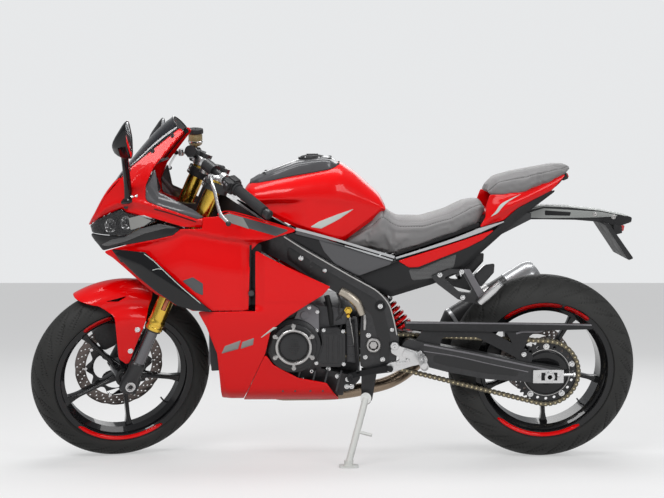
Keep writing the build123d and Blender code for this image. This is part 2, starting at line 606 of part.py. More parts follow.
def swingarm():
    """Two tapered arms outside the chain, joined by a yoke that turns on the pivot tube."""
    outer = SWINGARM_OUTER
    inner = outer - SWINGARM_THICKNESS
    arm_side = [
        (PIVOT_X + 90, 444, 30), (302, 424, 60), (471, 392, 60), (658, 352, 20), (751, 336, 10), (753, 286, 10),
        (660, 290, 20), (507, 302, 60), (379, 326, 40), (PIVOT_X + 90, 366, 30),
    ]
    arms = side_prism(arm_side, -outer, -inner) + side_prism(arm_side, inner, outer)
    yoke_side = [(PIVOT_X, PIVOT_Z + 44, 0), (PIVOT_X + 180, 436, 30), (PIVOT_X + 180, 356, 30), (PIVOT_X, PIVOT_Z - 44, 0)]
    body = side_prism(yoke_side, -PIVOT_HALF_WIDTH + 2, PIVOT_HALF_WIDTH - 2)
    body += cross_rod(PIVOT_X, PIVOT_Z, -PIVOT_HALF_WIDTH + 2, PIVOT_HALF_WIDTH - 2, 44)
    body += side_prism([(PIVOT_X + 96, 414, 10), (330, 404, 10), (330, 362, 10), (PIVOT_X + 96, 370, 10)], -inner, inner)
    body -= cross_rod(PIVOT_X, PIVOT_Z, -PIVOT_HALF_WIDTH, PIVOT_HALF_WIDTH, PIVOT_TUBE_RADIUS)
    body -= plan_prism(
        [(186, -SHOCK_GAP, 10), (186, SHOCK_GAP, 10), (308, SHOCK_GAP, 10), (308, -SHOCK_GAP, 10)], 300, 500
    )
    arms += body
    arms -= cross_rod(REAR_AXLE.X, REAR_AXLE.Z, -outer - 5, outer + 5, AXLE_RADIUS)
    return arms


def rear_axle():
    """Hollow rear spindle, spacers and the plates of the chain adjusters."""
    outer = SWINGARM_OUTER
    inner = outer - SWINGARM_THICKNESS
    reach = outer + 16
    axle = cross_rod(0, 0, -reach, reach, AXLE_RADIUS)
    for side, hub_end in ((-1, CHAIN_LINE + 3), (1, REAR_DISC_OFFSET + DISC_THICKNESS)):
        axle += cross_rod(0, 0, side * (hub_end + HUB_GAP), side * inner, AXLE_RADIUS + 5)
        plate = side_prism([(-46, 22, 5), (42, 22, 5), (42, -22, 5), (-46, -22, 5)], side * outer, side * (outer + 7))
        axle += plate
        axle += cross_rod(0, 0, side * (outer + 7), side * reach, AXLE_RADIUS + 4)
    axle -= cross_rod(0, 0, -reach, reach, AXLE_BORE_RADIUS)
    return Pos(REAR_AXLE) * axle


def drive_chain():
    """Closed loop of links round both sprockets, each link waisted between its pins."""
    big = CHAIN_PITCH / (2 * sin(pi / REAR_TEETH))
    small = CHAIN_PITCH / (2 * sin(pi / FRONT_TEETH))
    rear, front = Vector(REAR_AXLE.X, REAR_AXLE.Z), Vector(OUTPUT_X, OUTPUT_Z)
    span = rear - front
    distance, heading = span.length, atan2(span.Y, span.X)
    opening = asin((big - small) / distance)
    straight = sqrt(distance**2 - (big - small) ** 2)
    wrap_big, wrap_small = pi + 2 * opening, pi - 2 * opening
    total = 2 * straight + big * wrap_big + small * wrap_small
    links = 2 * round(total / CHAIN_PITCH / 2)

    def at(travel):
        """Point on the pitch line and its outward direction, as an angle."""
        if travel < straight:
            angle = heading + pi / 2 + opening
            start = front + Vector(cos(angle), sin(angle)) * small
            ahead = heading + opening
            return start + Vector(cos(ahead), sin(ahead)) * travel, angle
        travel -= straight
        if travel < big * wrap_big:
            angle = heading + pi / 2 + opening - travel / big
            return rear + Vector(cos(angle), sin(angle)) * big, angle
        travel -= big * wrap_big
        if travel < straight:
            angle = heading - pi / 2 - opening
            start = rear + Vector(cos(angle), sin(angle)) * big
            ahead = heading + pi - opening
            return start + Vector(cos(ahead), sin(ahead)) * travel, angle
        travel -= straight
        angle = heading - pi / 2 - opening - travel / small
        return front + Vector(cos(angle), sin(angle)) * small, angle

    outer, inner = [], []
    for index in range(2 * links):
        point, angle = at(total * index / (2 * links))
        half = (CHAIN_WAIST_HEIGHT if index % 2 else CHAIN_PLATE_HEIGHT) / 2
        out = Vector(cos(angle), sin(angle)) * half
        outer.append((point.X + out.X, -CHAIN_LINE - CHAIN_WIDTH / 2, point.Y + out.Y))
        inner.append((point.X - out.X, -CHAIN_LINE - CHAIN_WIDTH / 2, point.Y - out.Y))
    loop = make_face(Polyline(*outer, close=True)) - make_face(Polyline(*inner, close=True))
    return extrude(loop, amount=CHAIN_WIDTH, dir=(0, 1, 0))


def chain_guard():
    """Guard over the upper chain run with a long stay bar to the rear."""
    y_out, y_in = -SWINGARM_OUTER + 8, -SWINGARM_OUTER + 14
    arch = [
        (252, 400, 0), (300, 468, 20), (469, 484, 20), (516, 459, 20), (657, 381, 10), (650, 350, 0), (611, 345, 0),
        (600, 372, 0), (470, 441, 30), (360, 440, 10), (350, 400, 0),
    ]
    bar = [(240, 470, 0), (236, 493, 6), (847, 483, 6), (847, 466, 6), (516, 459, 20), (300, 464, 10)]
    fin = [(560, 470, 0), (600, 472, 0), (690, 476, 0), (640, 440, 20), (622, 392, 0), (600, 396, 0)]
    plate = side_prism(arch, y_out, y_in) + side_prism(bar, y_out - 6, y_in) + side_prism(fin, y_out, y_in)
    return plate - SWINGARM


def rear_shock():
    """Spring strut from the frame's cross tube to a bolt across the swingarm's window."""
    foot = Vector(SHOCK_FOOT[0], 0, SHOCK_FOOT[1])
    top = Vector(SHOCK_TOP[0], 0, SHOCK_TOP[1])
    reach = (top - foot).length
    strut = Plane(origin=foot, z_dir=top - foot)
    body = extrude(strut * Circle(SPRING_RADIUS - 14), amount=reach - CROSS_TUBE_RADIUS)
    turn_height = (reach - CROSS_TUBE_RADIUS - 60) / SPRING_TURNS
    for index in range(SPRING_TURNS):
        level = 40 + turn_height * index
        body += extrude(strut.offset(level) * Circle(SPRING_RADIUS), amount=turn_height * 0.55)
    body += cross_rod(*SHOCK_FOOT, -SHOCK_GAP, SHOCK_GAP, 10) + cross_rod(*SHOCK_FOOT, -30, 30, 16)
    return body - SWINGARM - MAIN_FRAME


def exhaust_pipe():
    """Header pipe down the front of the engine, under it and up to the muffler."""
    route = [
        (-286, 0, 566), (-322, 0, 534), (-318, 0, 430), (-284, 0, 290), (-200, 0, 214), (40, 20, 210),
        (220, 90, 232), (336, 184, 300), (404, 206, 392),
    ]
    return bent_tube(route, PIPE_RADIUS, share=0.4) - ENGINE - MUFFLER


def muffler():
    """Upswept round can with a turned-in tail cap."""
    start, end = Vector(400, 206, 390), Vector(733, 238, 592)
    along_can = Plane(origin=start, z_dir=end - start)
    length = (end - start).length
    can = extrude(along_can.offset(40) * Circle(MUFFLER_RADIUS), amount=length - 70)
    cone = loft([along_can * Circle(28), along_can.offset(40) * Circle(MUFFLER_RADIUS)])
    tail = loft([along_can.offset(length - 30) * Circle(MUFFLER_RADIUS), along_can.offset(length) * Circle(MUFFLER_RADIUS - 12)])
    mouth = extrude(along_can.offset(length - 60) * Circle(26), amount=80)
    return can + cone + tail - mouth


def peg_brackets():
    """Rider's peg hangers: a forked plate, a heel plate and a ribbed peg on each side."""
    y = -SPAR_HALF_WIDTH
    plate = side_prism(
        [(196, 432, 12), (218, 418, 12), (300, 392, 14), (312, 362, 12), (262, 352, 10), (200, 332, 12), (176, 338, 12),
         (184, 362, 12), (236, 372, 12), (192, 396, 12)], y, y - 12,
    )
    peg = cross_rod(292, 374, y - 12, y - 106, 12)
    peg += cross_rod(292, 374, y - 12, y - 26, 17)
    return twins(plate + peg)


def foot_controls():
    """Gear lever and its rod on the left, brake pedal on the right."""
    y = -SPAR_HALF_WIDTH - 12
    lever = side_prism([(50, 312, 8), (54, 330, 8), (180, 356, 10), (206, 342, 10)], y, y - 9)
    toe = cross_rod(60, 321, y - 9, y - 44, 8)
    pin = cross_rod(190, 345, y, y - 14, 9)
    link = rod((86, y - 4, 334), (70, y - 4, 500), 4)
    arm = cross_rod(70, 500, y - 9, -CASE_HALF_WIDTH - 10, 8)
    pedal = side_prism([(58, 300, 8), (62, 318, 8), (180, 356, 10), (206, 342, 10)], -y, -y + 9)
    pedal += cross_rod(66, 309, -y + 9, -y + 40, 8)
    return [lever + toe + pin + link + arm, pedal + cross_rod(190, 345, -y, -y + 14, 9)]


def pillion_pegs():
    """Passenger's peg hangers: open triangles under the tail with folded pegs."""
    y = -122
    arm = [(322, 640, 6), (380, 664, 14), (436, 664, 14), (500, 560, 12), (484, 546, 10), (408, 566, 20), (340, 618, 6)]
    window = [(362, 636, 6), (392, 650, 10), (424, 650, 10), (462, 584, 10), (412, 590, 16)]
    plate = side_prism(arm, y, y - 16) - side_prism(window, y, y - 16) - UNDERTAIL
    peg = rod((478, y - 22, 556), (538, y - 46, 622), 11)
    peg += cross_rod(480, 560, y - 16, y - 24, 12)
    return twins(plate + peg)


def rear_caliper():
    """Rear brake caliper on its hanger beside the right arm."""
    y_in, y_out = REAR_DISC_OFFSET - 18, REAR_DISC_OFFSET + DISC_THICKNESS + 15
    body = side_prism([(596, 412, 10), (664, 428, 10), (676, 372, 8), (600, 366, 8)], y_in, y_out)
    body -= cross_rod(
        REAR_AXLE.X, REAR_AXLE.Z, REAR_DISC_OFFSET - DISC_SLOT_GAP,
        REAR_DISC_OFFSET + DISC_THICKNESS + DISC_SLOT_GAP, REAR_DISC_RADIUS + DISC_SLOT_GAP,
    )
    hanger = side_prism([(604, 396, 0), (660, 392, 0), (660, 330, 0), (604, 340, 0)], y_out - 5, SWINGARM_INNER)
    return body + hanger


# ---------------------------------------------------------------- fairing
# Half outline of the fairing seen from above: (x, half width, corner radius).
FAIRING_PLAN = [
    (-806, 8, 0), (-792, 70, 30), (-740, 122, 60), (-600, 178, 120), (-400, 206, 150),
    (-150, 212, 150), (120, 196, 0),
]
# Half outline seen from ahead: (half width, z, corner radius).
FAIRING_FRONT = [
    (96, 214, 0), (150, 260, 30), (186, 420, 60), (212, 545, 12), (204, 720, 80), (182, 860, 60),
    (140, 1000, 60), (96, 1120, 40), (70, 1165, 0),
]


def fairing_shell(inset, wall, nose_wall=PANEL_WALL):
    """Skin of the fairing between two insets from its outer form, and that form."""
    outer = front_prism(both_sides(FAIRING_FRONT, inset), -900, 200)
    outer &= plan_prism(both_halves(FAIRING_PLAN, inset), 100, 1300)
    inner = front_prism(both_sides(FAIRING_FRONT, inset + wall), -900, 200)
    inner &= plan_prism(shifted(both_halves(FAIRING_PLAN, inset + wall), nose_wall, 0), 100, 1300)
    inner += plan_prism([(100, -150, 0), (100, 150, 0), (300, 150, 0), (300, -150, 0)], 100, 1300)
    return outer - inner, outer


def left_panel(skin, rows):
    return skin & side_prism(rows, -400, -40)


UPPER_COWL = [
    (-792, 806, 14), (-732, 905, 40), (-672, 968, 60), (-630, 1004, 20), (-480, 1118, 10),
    (-470, 1106, 8), (-560, 996, 40), (-584, 940, 30), (-584, 892, 20), (-548, 878, 20), (-420, 834, 10),
    (-400, 838, 0), (-407, 806, 0), (-466, 809, 30), (-560, 834, 30), (-650, 852, 14), (-664, 864, 14), (-748, 828, 20),
]
HEADLIGHT = [
    (-792, 800, 0), (-748, 828, 20), (-664, 864, 14), (-650, 852, 14), (-560, 834, 30), (-552, 826, 6),
    (-606, 806, 20), (-648, 778, 10), (-724, 778, 10), (-780, 780, 10),
]
NOSE_TRIM = [
    (-786, 772, 0), (-780, 780, 10), (-724, 778, 10), (-648, 778, 10), (-606, 806, 20), (-540, 822, 14),
    (-470, 806, 10), (-496, 784, 14), (-560, 768, 30), (-650, 750, 30), (-735, 726, 10),
]
SIDE_PANEL = [
    (-735, 724, 10), (-650, 748, 30), (-560, 766, 30), (-496, 782, 14), (-470, 804, 10), (-405, 806, 0),
    (-400, 840, 0), (-361, 842, 10), (-317, 856, 14), (-106, 797, 4), (-173, 777, 20), (-228, 758, 20),
    (-254, 732, 20), (-262, 545, 4), (-376, 545, 4), (-440, 543, 8), (-556, 594, 20), (-700, 706, 20),
]
MID_PANEL = [
    (-424, 540, 6), (-262, 543, 0), (-240, 543, 0), (-238, 736, 6), (-151, 691, 20), (-2, 620, 3), (-26, 594, 10),
    (-133, 527, 30), (-192, 478, 30), (-212, 398, 8), (-288, 236, 4), (-359, 236, 6), (-366, 400, 20),
    (-396, 488, 30),
]
BELLY_PAN = [
    (-212, 398, 8), (-186, 359, 14), (-108, 313, 30), (-15, 294, 14), (22, 232, 3), (-288, 232, 0),
]
WINGLET = [
    (-706, 736, 6), (-586, 732, 8), (-526, 680, 8), (-466, 624, 10), (-372, 541, 3), (-436, 547, 10), (-489, 562, 10),
    (-554, 606, 20), (-620, 658, 20),
]
INNER_TRIM = [
    (-558, 994, 4), (-584, 940, 20), (-584, 892, 20), (-548, 878, 20), (-420, 834, 10), (-400, 840, 0),
    (-424, 858, 6), (-512, 902, 10), (-546, 918, 10), (-552, 960, 6),
]


def upper_cowl():
    """Nose and screen surround: side skins joined by the brow between the headlights and screen."""
    skin, solid = FAIRING
    cowl = skin & side_prism(UPPER_COWL, -400, 400)
    brow = [
        (-792, 806, 0), (-732, 905, 40), (-690, 950, 0), (-686, 946, 0), (-727, 902, 40), (-786, 804, 0),
    ]
    hood = solid & side_prism(brow, -400, 400)
    return cowl + hood


def headlights():
    """Pair of lamp units below the brow, each a glazed wedge deeper than the skin."""
    skin, _ = fairing_shell(0.0, 34)
    return twins(left_panel(skin, HEADLIGHT) - COWL)


def nose_trim():
    skin, _ = fairing_shell(0.0, 22)
    return twins(left_panel(skin, NOSE_TRIM) - COWL)


def winglets():
    """Blades that stand off the side panels on a front and a rear foot."""
    skin, _ = fairing_shell(-24, 6, 0)
    blade = left_panel(skin, WINGLET)
    foot_skin, _ = fairing_shell(-18, 18, 0)
    feet = left_panel(foot_skin, [(-706, 736, 0), (-650, 734, 0), (-640, 700, 0), (-664, 694, 0)])
    feet += left_panel(foot_skin, [(-440, 600, 0), (-374, 542, 0), (-436, 547, 0), (-470, 556, 0)])
    return twins(blade + feet - FAIRING[1])


def windscreen():
    """Curved clear screen, swept back over the instruments."""
    low, high = Vector(-724, 0, 910), Vector(-513, 0, 1150)
    slope = Plane(origin=low, x_dir=(0, 1, 0), z_dir=high - low)
    # Section across the slope: a deep arc, (across, back from the crest).
    half, depth = 118, 150
    section = [
        ThreePointArc((-half, -depth), (0, 0), (half, -depth)),
        Line((half, -depth), (half - SCREEN_WALL, -depth)),
        ThreePointArc((half - SCREEN_WALL, -depth), (0, -SCREEN_WALL), (SCREEN_WALL - half, -depth)),
        Line((SCREEN_WALL - half, -depth), (-half, -depth)),
    ]
    shell = extrude(slope * make_face(section), amount=(high - low).length)
    profile = [
        (-745, 905, 0), (-700, 968, 60), (-600, 1085, 80), (-516, 1152, 6), (-484, 1112, 4),
        (-630, 1002, 20), (-672, 966, 60),
    ]
    return (shell & side_prism(profile, -200, 200)) - COWL


def cockpit():
    """Grey inner trims along the cowl and the instrument unit on its post."""
    skin, _ = FAIRING
    trims = twins(left_panel(skin, INNER_TRIM) - COWL)
    dash = side_prism([(-624, 900, 10), (-588, 1000, 12), (-570, 994, 10), (-590, 892, 10)], -84, 84)
    post = side_prism([(-620, 876, 0), (-612, 905, 0), (-590, 905, 0), (-590, 874, 0)], -20, 20)
    return [*trims, dash + post - MAIN_FRAME]


def mirrors():
    """Tall mirror heads on slim stalks."""
    head_front = [(-262, 1036, 20), (-292, 1024, 24), (-372, 1084, 40), (-376, 1140, 34), (-318, 1150, 50), (-264, 1092, 40)]
    head = front_prism(head_front, -656, -600)
    head &= side_prism([(-656, 1070, 40), (-622, 1160, 20), (-600, 1160, 0), (-600, 1010, 0), (-646, 1024, 20)], -420, -200)
    stalk = bent_tube([(-640, -158, 902), (-634, -196, 960), (-624, -282, 1046)], 10)
    base = rod((-640, -150, 892), (-640, -160, 910), 20)
    return twins(head + stalk + base - FAIRING[1])


# ---------------------------------------------------------------- tank, seats and tail
TANK_SIDE = [
    (-290, 884, 20), (-262, 945, 30), (-180, 968, 60), (-60, 996, 80), (30, 996, 60), (72, 966, 60),
    (174, 858, 24), (134, 816, 10), (86, 783, 10), (40, 750, 10), (10, 752, 20), (-112, 801, 60), (-240, 858, 30),
]
TANK_PLAN = [(-300, 70, 20), (-262, 124, 50), (-140, 142, 90), (20, 134, 90), (110, 92, 60), (190, 66, 0)]
TANK_FRONT = [(96, 740, 20), (140, 850, 60), (140, 900, 50), (104, 972, 50), (40, 1010, 30)]


def fuel_tank():
    """Sculpted tank: its side, plan and front outlines met, on a tub between the spars."""
    tank = side_prism(TANK_SIDE, -200, 200)
    tank &= plan_prism(both_halves(TANK_PLAN), 600, 1100)
    tank &= front_prism(both_sides(TANK_FRONT), -400, 400)
    tub = side_prism([(-250, 850, 0), (-190, 770, 0), (30, 640, 0), (60, 700, 0), (40, 750, 0), (-120, 800, 0)], -128, 128)
    return tank + tub - MAIN_FRAME


def tank_cover():
    """Raised cover over the tank's top with the filler in its middle."""
    rows = [
        (-262, 944, 10), (-198, 978, 30), (-139, 998, 30), (-110, 1012, 14), (-22, 1022, 20), (10, 1014, 12), (26, 990, 6),
        (-60, 960, 0), (-200, 930, 0),
    ]
    plan = [(-262, 60, 30), (-180, 92, 50), (0, 84, 50), (26, 40, 20)]
    cover = side_prism(rows, -120, 120) & plan_prism(both_halves(plan), 900, 1100)
    cover &= front_prism(both_sides([(110, 900, 0), (96, 985, 20), (60, 1012, 30), (30, 1030, 20)]), -400, 200)
    cap = Pos(-60, 0, 1010) * Cylinder(42, 24)
    return (cover + cap) - TANK


def rider_seat():
    rows = [
        (174, 856, 4), (189, 836, 10), (222, 814, 30), (300, 812, 60), (385, 836, 60), (450, 872, 20), (484, 884, 10),
        (496, 860, 12), (476, 812, 20), (403, 780, 40), (242, 724, 30), (202, 708, 20), (110, 733, 30), (40, 750, 0),
        (86, 783, 10), (134, 816, 10),
    ]
    plan = [(30, 96, 20), (110, 92, 40), (180, 96, 40), (260, 134, 60), (400, 130, 60), (500, 88, 30)]
    front = [(124, 690, 10), (136, 780, 40), (110, 880, 60), (30, 900, 20)]
    seat = side_prism(rows, -200, 200) & plan_prism(both_halves(plan), 600, 1000)
    seat &= front_prism(both_sides(front), 0, 600)
    return seat - MAIN_FRAME - TANK


def pillion_seat():
    rows = [
        (509, 917, 8), (532, 954, 20), (589, 960, 40), (676, 976, 60), (762, 993, 8), (779, 988, 6), (768, 967, 10),
        (705, 935, 60), (620, 906, 40), (556, 895, 10), (516, 895, 6),
    ]
    plan = [(500, 60, 20), (530, 104, 40), (640, 98, 60), (790, 58, 20)]
    return (side_prism(rows, -200, 200) & plan_prism(both_halves(plan), 800, 1100)) - TAIL


COVER_OUTER = 136  # outer face of the side covers
TAIL_PLAN = [(180, 128, 20), (400, 126, 80), (560, 112, 80), (790, 56, 20)]


def tail_shell(rows, inset, wall):
    """Closed-bottom skin of the tail: side outline met with the plan, opened from above."""
    outer = side_prism(rows, -200, 200) & plan_prism(both_halves(TAIL_PLAN, inset), 500, 1100)
    inner = side_prism(shifted(rows, 0, wall), -200, 200)
    inner &= plan_prism(both_halves(TAIL_PLAN, inset + wall), 500, 1100)
    return outer - inner


def tail_cowl():
    """Painted tail: upper cheeks under the passenger's seat and the strip below the rider's."""
    upper = [
        (512, 901, 4), (556, 901, 10), (620, 912, 40), (705, 941, 60), (764, 964, 4), (718, 911, 20), (604, 857, 30),
        (559, 819, 10), (478, 796, 4), (496, 830, 14), (500, 871, 14),
    ]
    cheeks = tail_shell(upper, 0, 6) & side_prism([(400, 700, 0), (400, 1000, 0), (800, 1000, 0), (800, 700, 0)], -200, 200)
    return cheeks - MAIN_FRAME


def tail_strips():
    rows = [(216, 690, 3), (530, 790, 3), (488, 756, 10), (443, 733, 10), (357, 699, 30), (282, 669, 10), (252, 668, 10)]
    band = plan_prism(both_halves(TAIL_PLAN), 500, 1000) - plan_prism(both_halves(TAIL_PLAN, 10), 500, 1000)
    return twins((band & side_prism(rows, -200, -40)) - UNDERTAIL)


def accent_trims():
    """Bright strips: along the side covers and on under the passenger's seat."""
    rear = [(206, 708, 0), (478, 796, 0), (559, 819, 0), (545, 796, 0), (216, 690, 0)]
    front = [(-106, 797, 2), (-92, 802, 2), (40, 752, 0), (110, 734, 0), (200, 708, 2), (200, 684, 2), (-104, 777, 2)]
    band = plan_prism(both_halves(TAIL_PLAN, -2), 500, 1000) - plan_prism(both_halves(TAIL_PLAN, 8), 500, 1000)
    rear_strip = (band & side_prism(rear, -200, -40)) - MAIN_FRAME - SEAT - UNDERTAIL
    front_strip = side_prism(front, -142, -COVER_OUTER) - SEAT
    return twins(rear_strip) + twins(front_strip)


def undertail():
    """Dark tray under the tail, closed below and behind."""
    rows = [
        (84, 640, 6), (216, 690, 3), (252, 668, 10), (282, 669, 10), (357, 699, 30), (443, 733, 10), (488, 756, 10),
        (530, 790, 3), (559, 819, 10), (604, 857, 30), (718, 911, 20), (730, 906, 3), (614, 824, 30), (557, 776, 20),
        (478, 706, 20), (416, 648, 30), (330, 612, 40), (193, 570, 6), (158, 590, 20),
    ]
    return tail_shell(rows, 0, 6) - MAIN_FRAME


def side_covers():
    """Smooth covers between the tank, the seat and the frame spars."""
    rows = [(-176, 768, 20), (-106, 786, 4), (200, 692, 4), (216, 690, 0), (84, 640, 6), (60, 652, 10), (-147, 778, 40)]
    return twins(side_prism(rows, -COVER_OUTER, -COVER_OUTER + 8) - MAIN_FRAME)


def plate_bracket():
    """Tail bracket with its blank plate holder, lamp and reflector."""
    arm = [
        (622, 812, 4), (622, 838, 6), (700, 856, 10), (779, 852, 30), (885, 840, 30), (992, 818, 6), (990, 802, 6),
        (950, 788, 10), (886, 803, 20), (803, 810, 30), (700, 812, 10),
    ]
    bracket = side_prism(arm, -30, 30) - side_prism(
        [(700, 826, 6), (716, 842, 6), (770, 838, 6), (760, 822, 6)], -40, 40
    )
    holder = side_prism([(884, 806, 4), (904, 800, 4), (984, 690, 4), (968, 684, 4)], -92, 92)
    lamp = side_prism([(930, 796, 3), (958, 790, 3), (960, 766, 3), (936, 760, 3)], -34, 34)
    return bracket + holder + lamp - MAIN_FRAME - UNDERTAIL


def side_stand():
    """Leg on a slanted pivot, with a foot that lies flat on the ground and a heel tang."""
    eye = Plane(origin=STAND_PIVOT, z_dir=STAND_AXIS)
    leg_top = STAND_PIVOT + STAND_AXIS * LEG_STANDOFF
    stand = extrude(eye.offset(HUB_GAP) * Circle(18), amount=17)
    stand += extrude(eye.offset(-20) * Circle(STAND_PIN_RADIUS), amount=22)
    stand += rod(leg_top, FOOT + Vector(0, 0, 12) + STAND_AXIS * LEG_STANDOFF, STAND_LEG_RADIUS)
    tang = leg_top + STAND_DOWN * 110
    stand += rod(tang, tang + Vector(46, -14, -8), 5)
    touch = moved(PARKED, FOOT + STAND_AXIS * LEG_STANDOFF)
    sole = Pos(touch.X, touch.Y, 0) * extrude(Rectangle(62, 40), amount=7)
    sole = fillet(sole.edges().filter_by(Axis.Z), 12)
    ankle = Pos(touch.X, touch.Y, 0) * extrude(Circle(15), amount=22)
    return stand + PARKED.inverse() * (sole + ankle)


# ---------------------------------------------------------------- assembly
SLIDERS = fork_sliders()
FAIRING = fairing_shell(0.0, PANEL_WALL)
SKIN = FAIRING[0]
MAIN_FRAME = main_frame()
SWINGARM = swingarm()
TANK = fuel_tank()
COWL = upper_cowl()
SIDE_SKIN = left_panel(SKIN, SIDE_PANEL) - COWL
ENGINE = engine_block()
MUFFLER = muffler()
UNDERTAIL = undertail()
SEAT = rider_seat()
TAIL = tail_cowl()

chassis = {
    "main_frame": [MAIN_FRAME],
    "engine_block": [ENGINE],
    "engine_covers": engine_covers(),
    "radiator": [radiator()],
    "swingarm": [SWINGARM],
    "rear_axle": [rear_axle()],
    "drive_chain": [drive_chain()],
    "chain_guard": [chain_guard()],
    "rear_shock": [rear_shock()],
    "exhaust_pipe": [exhaust_pipe()],
    "muffler": [MUFFLER],
    "peg_brackets": peg_brackets(),
    "foot_controls": foot_controls(),
    "pillion_pegs": pillion_pegs(),
    "rear_caliper": [rear_caliper()],
    "upper_cowl": [COWL],
    "headlights": headlights(),
    "nose_trim": nose_trim(),
    "winglets": winglets(),
    "side_panels": twins(SIDE_SKIN),
    "mid_panels": twins(left_panel(SKIN, MID_PANEL) - SIDE_SKIN),
    "belly_pan": [SKIN & side_prism(BELLY_PAN, -400, 400)],
    "windscreen": [windscreen()],
    "cockpit": cockpit(),
    "mirrors": mirrors(),
    "fuel_tank": [TANK],
    "tank_cover": [tank_cover()],
    "rider_seat": [SEAT],
    "pillion_seat": [pillion_seat()],
    "tail_cowl": [TAIL],
    "tail_strips": tail_strips(),
    "accent_trims": accent_trims(),
    "undertail": [UNDERTAIL],
    "side_covers": side_covers(),
    "plate_bracket": [plate_bracket()],
    "side_stand": [side_stand()],
    "rear_tyre": [tyre(REAR_AXLE, REAR_TYRE_RADIUS, REAR_TYRE_WIDTH, REAR_RIM_WIDTH)],
    "rear_rim": [rim(REAR_AXLE, REAR_RIM_WIDTH, REAR_HUB_RADIUS, CHAIN_LINE - 3, REAR_DISC_OFFSET)],
    "rear_sprocket": [rear_sprocket()],
    "rear_disc": [brake_disc(REAR_AXLE, REAR_DISC_RADIUS, REAR_DISC_OFFSET, AXLE_RADIUS + 8, 5)],
}
steering = {
    "yokes": [yokes()],
    "fork_tubes": fork_tubes(),
    "fork_sliders": SLIDERS,
    "front_axle": [front_axle()],
    "handlebars": handlebars(),
    "grips": grips(),
    "controls": controls(),
    "front_fender": [front_fender()],
    "front_caliper": [front_caliper()],
    "front_tyre": [tyre(FRONT_AXLE, FRONT_TYRE_RADIUS, FRONT_TYRE_WIDTH, FRONT_RIM_WIDTH)],
    "front_rim": [rim(FRONT_AXLE, FRONT_RIM_WIDTH, FRONT_HUB_RADIUS, FRONT_HUB_LEFT, DISC_OFFSET)],
    "front_disc": [brake_disc(FRONT_AXLE, DISC_RADIUS, DISC_OFFSET, AXLE_RADIUS + 6, 5)],
}

placed = {}
for name, shapes in chassis.items():
    placed[name] = Compound([s for shape in shapes for s in (PARKED * shape).solids()])
for name, shapes in steering.items():
    placed[name] = Compound([s for shape in shapes for s in (PARKED * STEERED * shape).solids()])

extent = Compound(list(placed.values())).bounding_box()
CENTRED = Pos(-extent.center().X, -extent.center().Y, 0)

os.makedirs("parts", exist_ok=True)
for name, piece in placed.items():
    export_step(CENTRED * piece, f"parts/{name}.step")
print("size", extent.size, "shift", CENTRED.position)
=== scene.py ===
"""Looks of the parked sport motorcycle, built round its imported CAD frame.

Shapes are laid out on the upright machine in millimetres, X to the rear, Y to the rider's
right, Z up, as in the part's source. They are then leaned onto the side stand and set into
the shared frame in metres.
"""

import json
from math import asin, atan2, copysign, cos, exp, pi, radians, sin, sqrt, tan

import bmesh
import bpy
from mathutils import Matrix, Vector, geometry
from mathutils.bvhtree import BVHTree
from mathutils.kdtree import KDTree


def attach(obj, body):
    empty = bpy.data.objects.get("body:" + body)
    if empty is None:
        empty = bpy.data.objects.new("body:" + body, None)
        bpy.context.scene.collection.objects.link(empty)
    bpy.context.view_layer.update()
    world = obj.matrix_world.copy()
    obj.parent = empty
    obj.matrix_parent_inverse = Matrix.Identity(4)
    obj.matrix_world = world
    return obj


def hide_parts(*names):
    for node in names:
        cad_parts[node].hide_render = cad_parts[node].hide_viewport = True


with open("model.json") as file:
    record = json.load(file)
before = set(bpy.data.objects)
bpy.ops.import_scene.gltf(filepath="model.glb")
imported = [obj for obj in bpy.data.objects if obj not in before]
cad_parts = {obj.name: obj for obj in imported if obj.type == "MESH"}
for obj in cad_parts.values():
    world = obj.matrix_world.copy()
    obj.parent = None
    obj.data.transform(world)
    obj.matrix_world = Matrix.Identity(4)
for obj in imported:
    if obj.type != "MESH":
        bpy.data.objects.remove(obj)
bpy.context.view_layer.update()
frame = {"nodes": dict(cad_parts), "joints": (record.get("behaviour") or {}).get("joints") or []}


# ---------------------------------------------------------------- places, millimetres
def at(x, y, z):
    return Matrix.Translation((x, y, z))


def tilt(degrees, axis="Y"):
    return Matrix.Rotation(radians(degrees), 4, axis)


METRES = 0.001
WHEELBASE = 1415
LEAN, PITCH = 9.0, -0.232122
RAKE, TRAIL, STEER = 24.5, 100, 24
FRONT_R, REAR_R = 300, 312
FRONT_AXLE = Vector((-WHEELBASE / 2, 0, FRONT_R))
REAR_AXLE = Vector((WHEELBASE / 2, 0, REAR_R))
FORK_OFFSET = FRONT_R * sin(radians(RAKE)) - TRAIL * cos(radians(RAKE))
FORK_SPREAD = 105

joints = {joint["name"]: joint for joint in frame["joints"]}
turn = tilt(LEAN, "X") @ tilt(PITCH)
shift = Vector(joints["rear_wheel"]["pos_m"]) - (turn @ REAR_AXLE) * METRES
CHASSIS = Matrix.Translation(shift) @ turn @ Matrix.Scale(METRES, 4)
FORK = Matrix.Translation(FRONT_AXLE) @ tilt(RAKE)
STEERED = FORK @ at(FORK_OFFSET, 0, 0) @ tilt(STEER, "Z") @ at(-FORK_OFFSET, 0, 0) @ FORK.inverted()
STEERING = CHASSIS @ STEERED
LEGS = STEERING @ FORK  # local X behind the legs, Z up them
FRONT_WHEEL = STEERING @ Matrix.Translation(FRONT_AXLE)
REAR_WHEEL = CHASSIS @ Matrix.Translation(REAR_AXLE)
FLIP = Matrix.Scale(-1, 4, (0, 1, 0))
UPRIGHT = tilt(90, "X")  # local Y onto local Z


